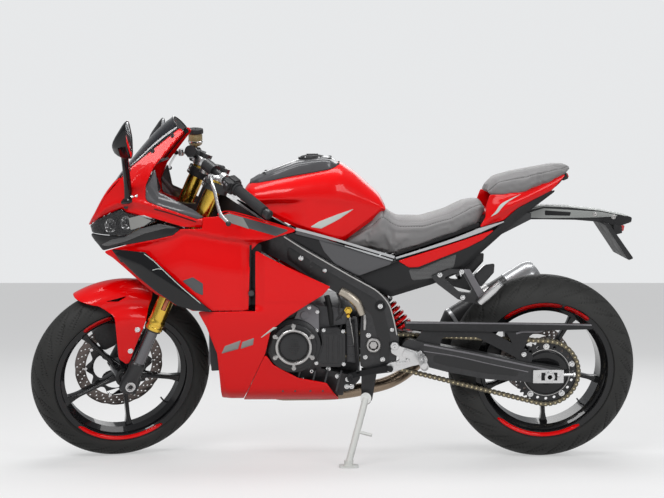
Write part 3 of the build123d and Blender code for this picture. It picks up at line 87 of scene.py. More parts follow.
# ---------------------------------------------------------------- materials
class Finish:
    """A material on its way: its node tree and its shader."""

    def __init__(self, name, color, rough, metal=0.0, coat=0.0, coat_rough=0.05, gloss=0.5):
        self.mat = bpy.data.materials.new(name)
        self.mat.use_nodes = True
        self.tree = self.mat.node_tree
        self.shader = self.tree.nodes["Principled BSDF"]
        self.color, self.rough = color, rough
        self.feed(self.shader, {
            "Base Color": (*color, 1), "Roughness": rough, "Metallic": metal, "IOR": 1.5,
            "Specular IOR Level": gloss, "Coat Weight": coat, "Coat Roughness": coat_rough,
        })

    def feed(self, made, inputs):
        """Gives each input its value, or the socket that leads it."""
        for key, value in inputs.items():
            if isinstance(value, bpy.types.NodeSocket):
                self.tree.links.new(value, made.inputs[key])
            else:
                made.inputs[key].default_value = value

    def node(self, kind, inputs=None, **settings):
        made = self.tree.nodes.new(kind)
        for key, value in settings.items():
            setattr(made, key, value)
        self.feed(made, inputs or {})
        return made

    def maths(self, operation, *values):
        made = self.node("ShaderNodeMath", dict(enumerate(values)), operation=operation)
        return made.outputs[0]

    def coords(self, scale=1.0, stretch=(1, 1, 1)):
        place = self.node("ShaderNodeTexCoord").outputs["Object"]
        scales = tuple(scale * s for s in stretch)
        return self.node("ShaderNodeMapping", {"Vector": place, "Scale": scales}).outputs["Vector"]

    def noise(self, scale, detail=4.0, rough=0.55, stretch=(1, 1, 1)):
        return self.node("ShaderNodeTexNoise", {
            "Scale": scale, "Detail": detail, "Roughness": rough, "Vector": self.coords(1.0, stretch),
        }).outputs["Fac"]

    def ramp(self, source, low, high, from_low=0.3, from_high=0.7):
        """Numbers between two values, led by a 0 to 1 source."""
        return self.node("ShaderNodeMapRange", {
            "From Min": from_low, "From Max": from_high, "To Min": low, "To Max": high, "Value": source,
        }).outputs["Result"]

    def tone(self, fac, first, second):
        """Base colour that runs between two colours."""
        ends = {"A": (*first, 1), "B": (*second, 1), "Factor": fac}
        mix = self.node("ShaderNodeMix", ends, data_type="RGBA")
        self.feed(self.shader, {"Base Color": mix.outputs["Result"]})

    def shaded(self, fac, share):
        """Base colour that drifts down to a share of itself."""
        self.tone(fac, tuple(c * share for c in self.color), self.color)

    def roughness(self, fac, less, more, least=0.0):
        low = max(least, self.rough - less)
        self.feed(self.shader, {"Roughness": self.ramp(fac, low, self.rough + more)})

    def bumped(self, height, strength, distance, soften=0.0):
        """Bump from a height, over edges softened by a radius in metres."""
        bump = self.node("ShaderNodeBump", {"Strength": strength, "Distance": distance, "Height": height})
        if soften:
            bevel = self.node("ShaderNodeBevel", {"Radius": soften}, samples=4)
            self.feed(bump, {"Normal": bevel.outputs["Normal"]})
        self.feed(self.shader, {"Normal": bump.outputs["Normal"]})

    def worn(self, gain, lift, amount):
        """Paler rubbed edges over a base colour broken up by noise."""
        edges = self.node("ShaderNodeNewGeometry").outputs["Pointiness"]
        point = self.ramp(edges, 0.0, amount, 0.515, 0.60)
        paler = tuple(min(1, c * gain + lift) for c in self.color)
        self.tone(self.maths("MULTIPLY", point, self.noise(90.0, 5.0)), self.color, paler)


def lacquer(name, color, rough, flake=0.03, metallic=0.0, soften=0.0015, coat=0.6):
    """Sprayed colour under clear coat, with faint orange peel and tone drift."""
    made = Finish(name, color, rough, metallic, coat, 0.03, gloss=0.12)
    made.shaded(made.noise(3.0, 3.0), 1 - flake * 3)
    made.bumped(made.noise(420.0, 2.0), 0.06, 0.0003, soften)
    return made.mat


def moulded(name, color, rough):
    """Injection-moulded plastic with a fine leather-like grain."""
    made = Finish(name, color, rough, gloss=0.25)
    cells = made.node("ShaderNodeTexVoronoi", {"Scale": 900.0, "Vector": made.coords()})
    made.roughness(made.noise(30.0), 0.08, 0.08)
    made.bumped(cells.outputs["Distance"], 0.25, 0.0004, 0.001)
    made.worn(2.2, 0.02, 0.4)
    return made.mat


def metal(name, color, rough, brushed=(1, 1, 1), soften=0.0008, bump=0.12, coat=0.0):
    """Machined or cast metal: stretched noise for brushing, round noise for castings."""
    made = Finish(name, color, rough, 1.0, coat=coat)
    fine = made.noise(220.0, 6.0, 0.6, brushed)
    made.roughness(fine, 0.1, 0.12, 0.03)
    made.shaded(made.noise(14.0, 4.0), 0.82)
    made.bumped(fine, bump, 0.0004, soften)
    return made.mat


def painted(name, color, rough):
    """Powder coat on metal: slightly pebbled, rubbed on its edges."""
    made = Finish(name, color, rough, coat=0.3, coat_rough=0.25, gloss=0.3)
    made.roughness(made.noise(60.0), 0.08, 0.1)
    made.bumped(made.noise(800.0, 3.0), 0.12, 0.0003, 0.0016)
    made.worn(3, 0.03, 0.5)
    return made.mat


def rubbery(name, color, rough):
    """Rubber with patches of dust."""
    made = Finish(name, color, rough, gloss=0.18)
    dust = made.noise(7.0, 5.0)
    made.tone(made.ramp(dust, 0.0, 0.8), color, tuple(c * 1.5 + 0.006 for c in color))
    made.roughness(dust, 0.12, 0.08)
    made.bumped(made.noise(500.0, 3.0), 0.25, 0.0004)
    return made.mat


def woven(name, dark, light, pitch):
    """Twill carbon weave under clear resin."""
    made = Finish(name, dark, 0.3, coat=0.8, coat_rough=0.06)
    split = made.node("ShaderNodeSeparateXYZ", {"Vector": made.coords(pitch)}).outputs
    wave = made.maths("SINE", made.maths("ADD", split["X"], split["Z"]))
    weave = made.maths("MULTIPLY", wave, made.maths("SINE", split["X"]))
    made.tone(made.ramp(weave, 0.0, 1.0, -0.3, 0.5), dark, light)
    made.bumped(weave, 0.15, 0.0003)
    return made.mat


def hide_of(name, color, rough):
    """Seat vinyl: creased cells over a soft tone drift."""
    made = Finish(name, color, rough)
    made.feed(made.shader, {"Sheen Weight": 0.25})
    cells = made.node(
        "ShaderNodeTexVoronoi", {"Scale": 420.0, "Vector": made.coords()}, feature="DISTANCE_TO_EDGE",
    )
    drift = made.noise(11.0, 4.0)
    made.shaded(drift, 0.88)
    made.roughness(drift, 0.06, 0.08)
    made.bumped(made.ramp(cells.outputs["Distance"], 0.0, 1.0, 0.0, 0.12), 0.22, 0.0005)
    return made.mat


def clear(name, color, alpha, rough=0.04):
    """Tinted sheet: partly see-through with a hard gloss."""
    made = Finish(name, color, rough, coat=1.0)
    made.feed(made.shader, {"Alpha": alpha})
    made.roughness(made.noise(25.0, 3.0), 0.0, 0.05)
    return made.mat


def glowing(name, color):
    """Ribbed coloured lens."""
    made = Finish(name, color, 0.15, coat=1.0)
    ribs = made.node(
        "ShaderNodeTexWave", {"Scale": 160.0, "Vector": made.coords()}, bands_direction="DIAGONAL",
    )
    made.bumped(ribs.outputs["Fac"], 0.4, 0.0006)
    return made.mat


M = {
    "red": lacquer("red_lacquer", (0.86, 0.0, 0.001), 0.3, coat=0.4),
    "pale_grey": lacquer("pale_grey_lacquer", (0.30, 0.30, 0.285), 0.35),
    "bracket": painted("bracket_coat", (0.30, 0.31, 0.30), 0.4),
    "grey": lacquer("grey_lacquer", (0.105, 0.105, 0.11), 0.38, 0.05, 0.4),
    "silver": lacquer("silver_lacquer", (0.55, 0.56, 0.57), 0.3, 0.05, 0.5),
    "gloss": lacquer("black_gloss", (0.006, 0.006, 0.007), 0.16),
    "white": lacquer("pale_stripe", (0.62, 0.66, 0.62), 0.3),
    "black": moulded("black_moulding", (0.020, 0.020, 0.021), 0.45),
    "dark": moulded("dark_moulding", (0.010, 0.010, 0.011), 0.55),
    "frame": painted("frame_coat", (0.014, 0.014, 0.015), 0.36),
    "caliper": painted("caliper_coat", (0.02, 0.02, 0.021), 0.4),
    "cast": painted("engine_coat", (0.032, 0.032, 0.034), 0.5),
    "cover": painted("cover_coat", (0.018, 0.018, 0.019), 0.38),
    "cover_grey": painted("timing_coat", (0.155, 0.15, 0.16), 0.42),
    "alloy": metal("bright_alloy", (0.72, 0.72, 0.72), 0.28, (1, 1, 8)),
    "steel": metal("plain_steel", (0.52, 0.51, 0.5), 0.3, (1, 6, 1)),
    "chrome": metal("bright_steel", (0.78, 0.78, 0.78), 0.12, bump=0.04),
    "gold": metal("gold_tube", (0.82, 0.53, 0.07), 0.22, (1, 1, 0.15), coat=0.4),
    "disc": metal("disc_face", (0.17, 0.145, 0.135), 0.38, (1, 8, 1)),
    "chain": metal("chain_plate", (0.17, 0.15, 0.11), 0.4),
    "pin": metal("chain_pin", (0.70, 0.60, 0.38), 0.3),
    "bronze": metal("bronze_elbow", (0.5, 0.45, 0.38), 0.4),
    "tube_dark": metal("slider_tube", (0.16, 0.16, 0.17), 0.16, (1, 1, 0.2), coat=0.3),
    "stand": painted("stand_coat", (0.72, 0.73, 0.70), 0.35),
    "pipe": metal("heat_tinted_pipe", (0.34, 0.26, 0.19), 0.32),
    "can": painted("can_coat", (0.016, 0.016, 0.017), 0.5),
    "rim": lacquer("rim_coat", (0.010, 0.010, 0.011), 0.22, soften=0.002),
    "tyre": rubbery("tyre_rubber", (0.030, 0.030, 0.029), 0.6),
    # Darker rubber for the faces deep in the tread grooves: painted shade in the grooves.
    "groove": rubbery("tread_groove_painted_shade", (0.004, 0.004, 0.004), 0.9),
    "hose": rubbery("hose_rubber", (0.012, 0.012, 0.012), 0.5),
    "fluid": lacquer("fluid_cup", (0.34, 0.27, 0.13), 0.3),
    "rubber": rubbery("grip_rubber", (0.030, 0.030, 0.031), 0.65),
    "hide": hide_of("seat_hide", (0.205, 0.200, 0.200), 0.5),
    "carbon": woven("carbon_weave", (0.012, 0.012, 0.013), (0.11, 0.11, 0.11), 1500.0),
    "smoke": clear("smoked_screen", (0.008, 0.010, 0.014), 0.72),
    "lens": clear("lamp_lens", (0.02, 0.02, 0.022), 0.30, 0.02),
    "lamp_red": glowing("red_lens", (0.55, 0.006, 0.006)),
    "amber": glowing("amber_lens", (0.80, 0.16, 0.01)),
    "mirror": metal("mirror_glass", (0.85, 0.87, 0.88), 0.03, bump=0.0, soften=0.0),
    "glow": lacquer("dial_face", (0.01, 0.012, 0.02), 0.1),
}


# ---------------------------------------------------------------- outlines
def turns(count, first=0.0):
    """Angles of a count of places round a circle."""
    return [2 * pi * (k + first) / count for k in range(count)]


def polar(radius, angle):
    return (radius * cos(angle), radius * sin(angle))


def round_y(radius, angle, y=0):
    """Matrix of a place at a radius round Y."""
    return at(radius * cos(angle), y, radius * sin(angle))


def ring(radius, count, centre=(0, 0)):
    return [
        Vector((centre[0] + radius * cos(a), centre[1] + radius * sin(a))) for a in turns(count)
    ]


def rounded(rows, step=6.0):
    """Closed outline of straight runs and round corners; rows are (across, up, radius)."""
    points = []
    for index, (x, z, radius) in enumerate(rows):
        corner = Vector((x, z))
        back = Vector(rows[index - 1][:2]) - corner
        ahead = Vector(rows[(index + 1) % len(rows)][:2]) - corner
        half = max(back.angle(ahead) / 2, 0.02)
        reach = min(radius / tan(half), 0.48 * back.length, 0.48 * ahead.length)
        if reach < 0.2:
            points.append(corner)
            continue
        start, end = corner + back.normalized() * reach, corner + ahead.normalized() * reach
        count = max(2, min(14, int((pi - 2 * half) * reach * tan(half) / step) + 2))
        for k in range(count + 1):
            t = k / count
            points.append(start * (1 - t) ** 2 + corner * 2 * t * (1 - t) + end * t * t)
    return points


def hole(radius, count, centre=(0, 0)):
    """Round hole for a plate."""
    return list(reversed(ring(radius, count, centre)))


def shape(rows, step):
    """Outline of a plate, seen from the left."""
    return list(reversed(rounded(rows, step)))


def resampled(points, step):
    """The outline with no run longer than step."""
    out = []
    for index, here in enumerate(points):
        ahead = points[(index + 1) % len(points)]
        count = max(1, int((ahead - here).length / step + 0.5))
        out += [here.lerp(ahead, k / count) for k in range(count)]
    return out


def inside(point, loop):
    hit = False
    for index, a in enumerate(loop):
        b = loop[index - 1]
        if (a.y > point.y) != (b.y > point.y):
            if point.x < (b.x - a.x) * (point.y - a.y) / (b.y - a.y) + a.x:
                hit = not hit
    return hit


def inner_points(loops, step):
    """Rows of places inside the first loop and outside the others, clear of all of them."""
    near = {}
    for v in (v for loop in loops for v in loop):
        near.setdefault((int(v.x // step), int(v.y // step)), []).append(v)
    xs, zs = [v.x for v in loops[0]], [v.y for v in loops[0]]
    row, z = 0, min(zs) + step / 2
    while z < max(zs):
        x = min(xs) + (step / 2 if row % 2 else 0)
        while x < max(xs):
            spot = Vector((x, z))
            column, line = int(x // step), int(z // step)
            close = any(
                (spot - v).length < 0.6 * step
                for i in (-1, 0, 1) for j in (-1, 0, 1) for v in near.get((column + i, line + j), ())
            )
            if not close and inside(spot, loops[0]) and not any(inside(spot, h) for h in loops[1:]):
                yield spot
            x += step
        z += step * 0.87
        row += 1


def filled(loop, holes, step):
    """Triangles over an outline with holes, with inner points a step apart."""
    loops = [resampled(loop, step)] + [resampled(h, step * 0.8) for h in holes]
    verts, edges = [], []
    for line in loops:
        base = len(verts)
        verts += line
        edges += [(base + k, base + (k + 1) % len(line)) for k in range(len(line))]
    verts += inner_points(loops, step)
    made = geometry.delaunay_2d_cdt(verts, edges, [], 1, 1e-4)
    points, faces = made[0], made[2]
    middles = [sum((points[i] for i in face), Vector((0, 0))) / 3 for face in faces]
    return points, [f for f, m in zip(faces, middles) if not any(inside(m, h) for h in loops[1:])]


def between(rows, place):
    """Value from a table of (place, value), straight from row to row."""
    if place <= rows[0][0]:
        return rows[0][1]
    for low, high in zip(rows, rows[1:]):
        if place <= high[0]:
            t = (place - low[0]) / (high[0] - low[0])
            return low[1] + (high[1] - low[1]) * t
    return rows[-1][1]


def eased(rows, place, width=24.0):
    """Table value averaged over a width, so that its corners turn softly."""
    weights = zip(range(-3, 4), (1, 2, 3, 4, 3, 2, 1))
    return sum(between(rows, place + width * k / 3) * w for k, w in weights) / 16


def step_up(value, low, high):
    """0 below low, 1 above high and smooth from one to the other."""
    t = min(1.0, max(0.0, (value - low) / (high - low)))
    return t * t * (3 - 2 * t)


def spread(values, count):
    """The values drawn out evenly to a count of them."""
    if isinstance(values, (int, float)):
        return [values] * count
    out = []
    for k in range(count):
        place = k / (count - 1) * (len(values) - 1)
        low = min(int(place), len(values) - 2)
        out.append(values[low] + (values[low + 1] - values[low]) * (place - low))
    return out


def smooth_line(points, per):
    """Catmull-Rom line through the points."""
    points = [Vector(p) for p in points]
    ends = [points[0] * 2 - points[1]] + points + [points[-1] * 2 - points[-2]]
    out = []
    for i in range(1, len(ends) - 2):
        a, b, c, d = ends[i - 1:i + 3]
        for t in (k / per for k in range(per)):
            squared = (2 * a - 5 * b + 4 * c - d) * t * t
            out.append(0.5 * (2 * b + (c - a) * t + squared + (3 * b - a - 3 * c + d) * t ** 3))
    return out + [points[-1]]


def side_line(points, per):
    """Smooth line through (x, z) places seen from the side, as (x, z, 0)."""
    return smooth_line([(x, z, 0) for x, z in points], per)


def heading(line, k):
    """Direction of a line at its point k."""
    return (line[min(k + 1, len(line) - 1)] - line[max(k - 1, 0)]).normalized()


# ---------------------------------------------------------------- meshes
def crisp(mesh, angle):
    mesh.shade_smooth()
    mesh.set_sharp_from_angle(angle=radians(angle))
    return mesh


def edited(mesh, *steps):
    """The mesh after steps that are given as functions of its bmesh."""
    bm = bmesh.new()
    bm.from_mesh(mesh)
    for step in steps:
        step(bm)
    bm.to_mesh(mesh)
    bm.free()
    return mesh


def turn_out(bm):
    bmesh.ops.recalc_face_normals(bm, faces=bm.faces)


def turn_left(bm):
    if sum(f.normal.y * f.calc_area() for f in bm.faces) > 0:
        bmesh.ops.reverse_faces(bm, faces=bm.faces)


def merge(distance):
    return lambda bm: bmesh.ops.remove_doubles(bm, verts=bm.verts, dist=distance)


def as_mesh(name, verts, faces):
    mesh = bpy.data.meshes.new(name)
    mesh.from_pydata([tuple(v) for v in verts], [], faces)
    mesh.validate()
    mesh.shade_smooth()
    return mesh


def linked(name, data):
    """New object in the scene."""
    made = bpy.data.objects.new(name, data)
    bpy.context.scene.collection.objects.link(made)
    return made


def baked(holder):
    """An object's mesh after its modifiers; the object goes."""
    graph = bpy.context.evaluated_depsgraph_get()
    out = bpy.data.meshes.new_from_object(holder.evaluated_get(graph))
    bpy.data.objects.remove(holder)
    return out


def modified(mesh, *steps):
    """The mesh after a few modifiers, given as (type, settings)."""
    holder = linked("holder", mesh)
    for index, (kind, settings) in enumerate(steps):
        mod = holder.modifiers.new(f"step{index}", kind)
        for key, value in settings.items():
            setattr(mod, key, value)
    return baked(holder)


def thickened(mesh, wall, offset=0.0):
    return modified(mesh, ("SOLIDIFY", {"thickness": wall, "offset": offset}))


def bevel(width, angle):
    limits = {"limit_method": "ANGLE", "angle_limit": radians(angle)}
    return ("BEVEL", {"width": width, "segments": 2, **limits})


def joined(name, *meshes):
    """One mesh from several, keeping their materials' indices."""
    bm = bmesh.new()
    for mesh in meshes:
        bm.from_mesh(mesh)
    out = bpy.data.meshes.new(name)
    bm.to_mesh(out)
    bm.free()
    return out


def moved(mesh, matrix):
    mesh = mesh.copy()
    mesh.transform(matrix)
    if matrix.determinant() < 0:
        mesh.flip_normals()
    return mesh


def both(mesh, *more):
    """The mesh, or several joined, with the mirror image across the centre plane."""
    mesh = joined("set", mesh, *more) if more else mesh
    return joined("pair", mesh, moved(mesh, FLIP))


def panel(rows, surface, wall, step, edge=1.2, holes=()):
    """Panel cut to a side outline, standing at y = -surface(x, z), with rounded edges."""
    points, faces = filled(rounded(rows), [rounded(h) for h in holes], step)
    verts = [(p.x, -surface(p.x, p.y), p.y) for p in points]
    mesh = edited(as_mesh("panel", verts, [tuple(reversed(f)) for f in faces]), turn_out, turn_left)
    solid = ("SOLIDIFY", {"thickness": wall, "offset": -1.0})
    return crisp(modified(mesh, solid, bevel(edge, 50)), 45)


def plate(loops, y_from, y_to, edge):
    """Flat plate from closed outlines, the first outer and the rest holes, with soft edges."""
    curve = bpy.data.curves.new("plate", "CURVE")
    curve.dimensions = "2D"
    curve.fill_mode = "BOTH"
    curve.extrude = max(abs(y_to - y_from) / 2 - edge, 0.01)
    curve.bevel_depth = edge
    curve.bevel_resolution = 1
    curve.offset = -edge
    for loop in loops:
        spline = curve.splines.new("POLY")
        spline.points.add(len(loop) - 1)
        for point, where in zip(spline.points, loop):
            point.co = (where[0], where[1], 0, 1)
        spline.use_cyclic_u = True
    mesh = baked(linked("plate", curve))
    bpy.data.curves.remove(curve)
    edited(mesh, merge(0.01))
    middle = (y_from + y_to) / 2
    mesh.transform(Matrix(((1, 0, 0, 0), (0, 0, -1, middle), (0, 1, 0, 0), (0, 0, 0, 1))))
    return crisp(mesh, 30)


def lathe(profile, count, closed=False, angle=35.0):
    """Turned about Y; profile is (radius, y)."""
    verts, faces = [], []
    n = len(profile)
    for k, a in enumerate(turns(count)):
        verts += [(r * cos(a), y, r * sin(a)) for r, y in profile]
        low, high = k * n, ((k + 1) % count) * n
        for i in range(n if closed else n - 1):
            j = (i + 1) % n
            faces.append((low + i, low + j, high + j, high + i))
    return crisp(edited(as_mesh("lathe", verts, faces), merge(0.001), turn_out), angle)


def nut(profile):
    """Six-sided turned piece."""
    return lathe(profile, 6, angle=20)


def tube(points, radius, sides=12, per=8, smooth=True, flat=1.0):
    """Tube along a line; radius may be a number or one per given point."""
    line = smooth_line(points, per) if smooth else [Vector(p) for p in points]
    count = len(line)
    side = (line[1] - line[0]).normalized().orthogonal().normalized()
    verts, faces = [], []
    for k, r in enumerate(spread(radius, count)):
        forward = heading(line, k)
        side = (side - forward * side.dot(forward)).normalized()
        up = forward.cross(side)
        for a in turns(sides):
            verts.append(line[k] + side * cos(a) * r + up * sin(a) * r * flat)
    for k in range(count - 1):
        for s in range(sides):
            t, low, high = (s + 1) % sides, k * sides, (k + 1) * sides
            faces.append((low + s, low + t, high + t, high + s))
    faces.append(tuple(reversed(range(sides))))
    faces.append(tuple(range((count - 1) * sides, count * sides)))
    return crisp(as_mesh("tube", verts, faces), 50)


def loft(sections, caps=True, closed=True, angle=60.0):
    """Skin over sections that have the same number of points."""
    n = len(sections[0])
    faces = []
    for low in range(0, (len(sections) - 1) * n, n):
        for i in range(n if closed else n - 1):
            j = (i + 1) % n
            faces.append((low + i, low + j, low + n + j, low + n + i))
    if caps:
        faces.append(tuple(reversed(range(n))))
        faces.append(tuple(range((len(sections) - 1) * n, len(sections) * n)))
    mesh = as_mesh("loft", [p for section in sections for p in section], faces)
    return crisp(edited(mesh, merge(0.01), turn_out), angle)


def skin(sections, wall, offset=0.0):
    """Open sheet over sections, given a wall."""
    return thickened(loft(sections, caps=False, closed=False), wall, offset)


def mirrored(x, right):
    """Whole section at x from its right half of (y, z), which ends on the centre line."""
    return [(x, -y, z) for y, z in right] + [(x, y, z) for y, z in reversed(right[:-1])]


def block(size, edge, place=None):
    """Bevelled block, set with a matrix where one is given."""
    bm = bmesh.new()
    bmesh.ops.create_cube(bm, size=1.0)
    bmesh.ops.scale(bm, vec=size, verts=bm.verts)
    width = min(edge, min(size) * 0.3)
    bmesh.ops.bevel(bm, geom=bm.edges[:], offset=width, segments=2, affect="EDGES", profile=0.6)
    mesh = bpy.data.meshes.new("block")
    bm.to_mesh(mesh)
    bm.free()
    mesh = crisp(mesh, 40)
    return mesh if place is None else moved(mesh, place)


def along(start, end):
    """Matrix that stands local Y on the line from start towards end."""
    start, end = Vector(start), Vector(end)
    y = (end - start).normalized()
    x = y.cross(Vector((0, 0, 1)))
    x = x.normalized() if x.length > 1e-3 else Vector((1, 0, 0))
    return Matrix.Translation(start) @ Matrix((x, y, x.cross(y))).transposed().to_4x4()


def facing(x, y, z, out=(0, -1, 0)):
    """Places a screw at a point with its head towards out."""
    turned = Vector((0, -1, 0)).rotation_difference(Vector(out).normalized())
    return at(x, y, z) @ turned.to_matrix().to_4x4()


def screw(radius, height):
    """Round-headed screw with a hexagon socket, standing along -Y."""
    socket = ring(0.5 * radius, 6)
    head = plate([ring(radius, 20), list(reversed(socket))], -height, 0, radius * 0.16)
    floor = plate([[p * 1.02 for p in socket]], -height * 0.45, -height * 0.3, 0.05)
    washer = plate([ring(radius * 1.35, 20)], -0.9, 0.4, 0.2)
    return joined("screw", head, floor, washer)


def screws(radius, height, level, spots, out=(0, -1, 0)):
    """Screws at (x, z) spots; level is their y, or a function of x and z."""
    return [
        moved(screw(radius, height), facing(x, level(x, z) if callable(level) else level, z, out))
        for x, z in spots
    ]


def ribbon(points, width, surface, lift, thick=0.7, smooth=True):
    """Thin raised strip along a line on a panel; width may be one per point."""
    line = side_line(points, 8) if smooth else [Vector((x, z, 0)) for x, z in points]
    verts, faces = [], []
    for k, (spot, wide) in enumerate(zip(line, spread(width, len(line)))):
        ahead = heading(line, k)
        across = Vector((-ahead.y, ahead.x, 0))
        for p in (spot + across * (wide / 2) * side for side in (-1, -0.33, 0.33, 1)):
            verts.append((p.x, -(surface(p.x, p.y) + lift), p.y))
    for low in range(0, 4 * (len(line) - 1), 4):
        faces += [(low + s, low + s + 1, low + s + 5, low + s + 4) for s in range(3)]
    return crisp(thickened(as_mesh("ribbon", verts, faces), thick), 60)


def patch(rows, surface, lift, thick, step=8.0):
    """Thin flat-edged marking over a panel."""
    return panel(rows, lambda x, z: surface(x, z) + lift, thick, step, 0.2)


def trimmed(mesh, tool, how):
    """Mesh boolean between two closed meshes."""
    other = linked("tool", tool)
    out = modified(mesh, ("BOOLEAN", {"object": other, "operation": how, "solver": "EXACT"}))
    bpy.data.objects.remove(other)
    return out


# ---------------------------------------------------------------- handing over
def put(where, body, name, mesh, slot, looks, cad=None, padded=None):
    """Sets a mesh into the shared frame and hands it to a body, in a CAD node's place if named."""
    mesh.transform(where)
    if where.determinant() < 0:
        mesh.flip_normals()
    mesh.name = name
    mesh.materials.clear()
    for look in looks.split():
        mesh.materials.append(M[look])
    piece = linked(name, mesh)
    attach(piece, body)
    if cad:
        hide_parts(cad)


def on_chassis(*piece, **more):
    put(CHASSIS, "chassis", *piece, **more)


def on_legs(*piece):
    """A piece of the steered body, drawn along the fork legs."""
    put(LEGS, "steering", *piece)


def on_bars(*piece):
    """A piece of the steered body, drawn in the machine's own directions."""
    put(STEERING, "steering", *piece)


def on_axle(*piece):
    """A piece of the steered body, drawn round the front axle."""
    put(FRONT_WHEEL, "steering", *piece)


def on_front_wheel(*piece):
    put(FRONT_WHEEL, "front_wheel", *piece)


def on_rear_wheel(*piece):
    put(REAR_WHEEL, "rear_wheel", *piece)


# ---------------------------------------------------------------- wheels
GROOVES = (  # start and reach of the sweep, lowest and highest share of the half width, offset
    (0.02, 0.16, 0.14, 0.80, 0.0), (0.02, 0.10, 0.42, 0.92, 0.5), (0.0, 0.07, 0.10, 0.34, 0.62),
)
GROOVES_ROUND, GROOVE_DEPTH, GROOVE_HALF = 26, 4.0, 3.2
TYRE_STEPS, BEAD_R = 800, 230
RIM_OUTSIDE = [(230, 0), (231, 1.5), (230.5, 5), (217, 5.5), (216, 22), (200, 34)]
RIM_INSIDE = [(226, 0.4), (213, 3), (210, 6), (210, 22), (195, 34)]
HUB_END = [(13, 0), (24, 0), (25, 1), (25, 6)]
SPOKE_END, SPOKE_PHASE = 202, 14


def tread_depth(lead, across):
    """Groove depth at an angle round the tyre and a share of its half width."""
    side, depth = abs(across), 0.0
    if side > 0.93 or side < 0.10:
        return depth
    for start, reach, low, high, offset in GROOVES:
        if not low < side < high:
            continue
        share = (side - low) / (high - low)
        sweep = start + reach * share ** 1.6
        turned = lead / (2 * pi) + (0.5 / GROOVES_ROUND if across > 0 else 0) - sweep / 2.2
        phase = turned * GROOVES_ROUND + offset
        away = abs(phase - round(phase)) / GROOVES_ROUND * 2 * pi * FRONT_R
        taper = min(1.0, share * 6, (1 - share) * 5)
        half = GROOVE_HALF * (0.5 + 0.5 * taper)
        depth = max(depth, taper * GROOVE_DEPTH * (1 - step_up(away, half * 0.55, half)))
    return depth


def tyre(radius, width, rim_width, phase):
    """Carcass with cut grooves, scrub ribs and rounded sidewalls, turned about Y."""
    crown, bead = width / 2, rim_width / 2 - 5
    shoulder = radius - crown
    line, wall = [], []
    for k in range(-26, 27):
        a = pi / 2 * k / 26
        line.append((shoulder + crown * cos(a), crown * sin(a), k / 26))
    for k in range(1, 9):
        t = k / 8
        bulge = 1.6 * sin(pi * t)
        rib = 0.8 if k in (3, 6) else 0.0
        y = crown + (bead - crown) * t * t + bulge + rib - 1.0
        wall.append((shoulder - (shoulder - BEAD_R) * t, y, 1.0))
    profile = [(r, -y, -u) for r, y, u in reversed(wall)] + line + wall
    n = len(profile)
    verts, faces = [], []
    for k, a in enumerate(turns(TYRE_STEPS)):
        for r, y, u in profile:
            cut = tread_depth(a + phase, u)
            deep = r - cut * max(0.2, cos(u * pi / 2))
            inwards = y - copysign(cut * abs(sin(u * pi / 2)), y) if cut else y
            verts.append((deep * cos(a), inwards, deep * sin(a)))
        low, high = k * n, ((k + 1) % TYRE_STEPS) * n
        faces += [(low + i, high + i, high + i + 1, low + i + 1) for i in range(n - 1)]
    mesh = edited(as_mesh("tyre", verts, faces), turn_out)
    for face in mesh.polygons:
        k, i = divmod(face.index, n - 1)
        lead = 2 * pi * (k + 0.5) / TYRE_STEPS + phase
        middle = (profile[i][2] + profile[i + 1][2]) / 2
        # Faces deep in a groove take the second slot, a darker rubber, as painted shade in the grooves.
        if abs(profile[i][2]) < 0.95 and tread_depth(lead, middle) > 1.2:
            face.material_index = 1
    return crisp(mesh, 50)


def spoke(hub_radius):
    """Waisted spoke with a raised line on each side."""
    sections = []
    for k in range(15):
        t = k / 14
        r = hub_radius - 5 + (SPOKE_END - hub_radius) * t
        wide = 6.5 + 5.5 * max(0, 1 - t / 0.4) ** 1.5 + 12 * max(0, t - 0.8) ** 1.2 * 4
        deep, corner = 19 - 6 * t, 3.0
        loop = []
        for sx, sz, first in ((1, 1, 0), (-1, 1, 90), (-1, -1, 180), (1, -1, 270)):
            for a in (radians(first + q * 30) for q in range(4)):
                y = sx * (deep - corner) + corner * cos(a)
                loop.append((r, y, sz * (wide - corner) + corner * sin(a)))
        sections.append(loop)
    pieces = [loft(sections, angle=40)]
    for side in (1, -1):
        pieces.append(loft([
            [(r, side * (19.4 - 6 * ((r - hub_radius) / (SPOKE_END - hub_radius)) + dy), z * w)
             for dy, z in ((0.0, -3.2), (0.5, -2.6), (0.5, 2.6), (0.0, 3.2))]
            for r, w in ((hub_radius + 14, 0.7), (hub_radius + 24, 1.2), (160, 0.8), (184, 0.3))
        ], angle=30))
    return joined("spoke", *pieces)


def rim(width, hub_radius, hub_left, hub_right):
    """Cast wheel with five waisted spokes, a stepped barrel and drilled hub."""
    half = width / 2
    barrel = [(r, half - d) for r, d in RIM_OUTSIDE] + [(r, d - half) for r, d in RIM_OUTSIDE[::-1]]
    barrel += [(r, d - half) for r, d in RIM_INSIDE] + [(r, half - d) for r, d in RIM_INSIDE[::-1]]
    hub = [(r, d - hub_left) for r, d in HUB_END] + [(hub_radius, 10 - hub_left)]
    hub += [(hub_radius, hub_right - 10)] + [(r, hub_right - d) for r, d in HUB_END[::-1]]
    pieces = [lathe(barrel, 128, closed=True, angle=30), lathe(hub, 48, closed=True)]
    arm = spoke(hub_radius)
    pieces += [moved(arm, tilt(SPOKE_PHASE + 72 * index)) for index in range(5)]
    for a in (radians(36 * index + SPOKE_PHASE) for index in range(10)):
        for y, side in ((-hub_left, Matrix()), (hub_right, FLIP)):
            pieces.append(moved(screw(4.4, 3), round_y(21, a, y * 0.97) @ side))
    valve = tube([(197, 6, 0), (176, 12, 4)], [3.2, 2.6], 10, 2)
    return joined("rim", *pieces, moved(valve, tilt(SPOKE_PHASE + 30)))


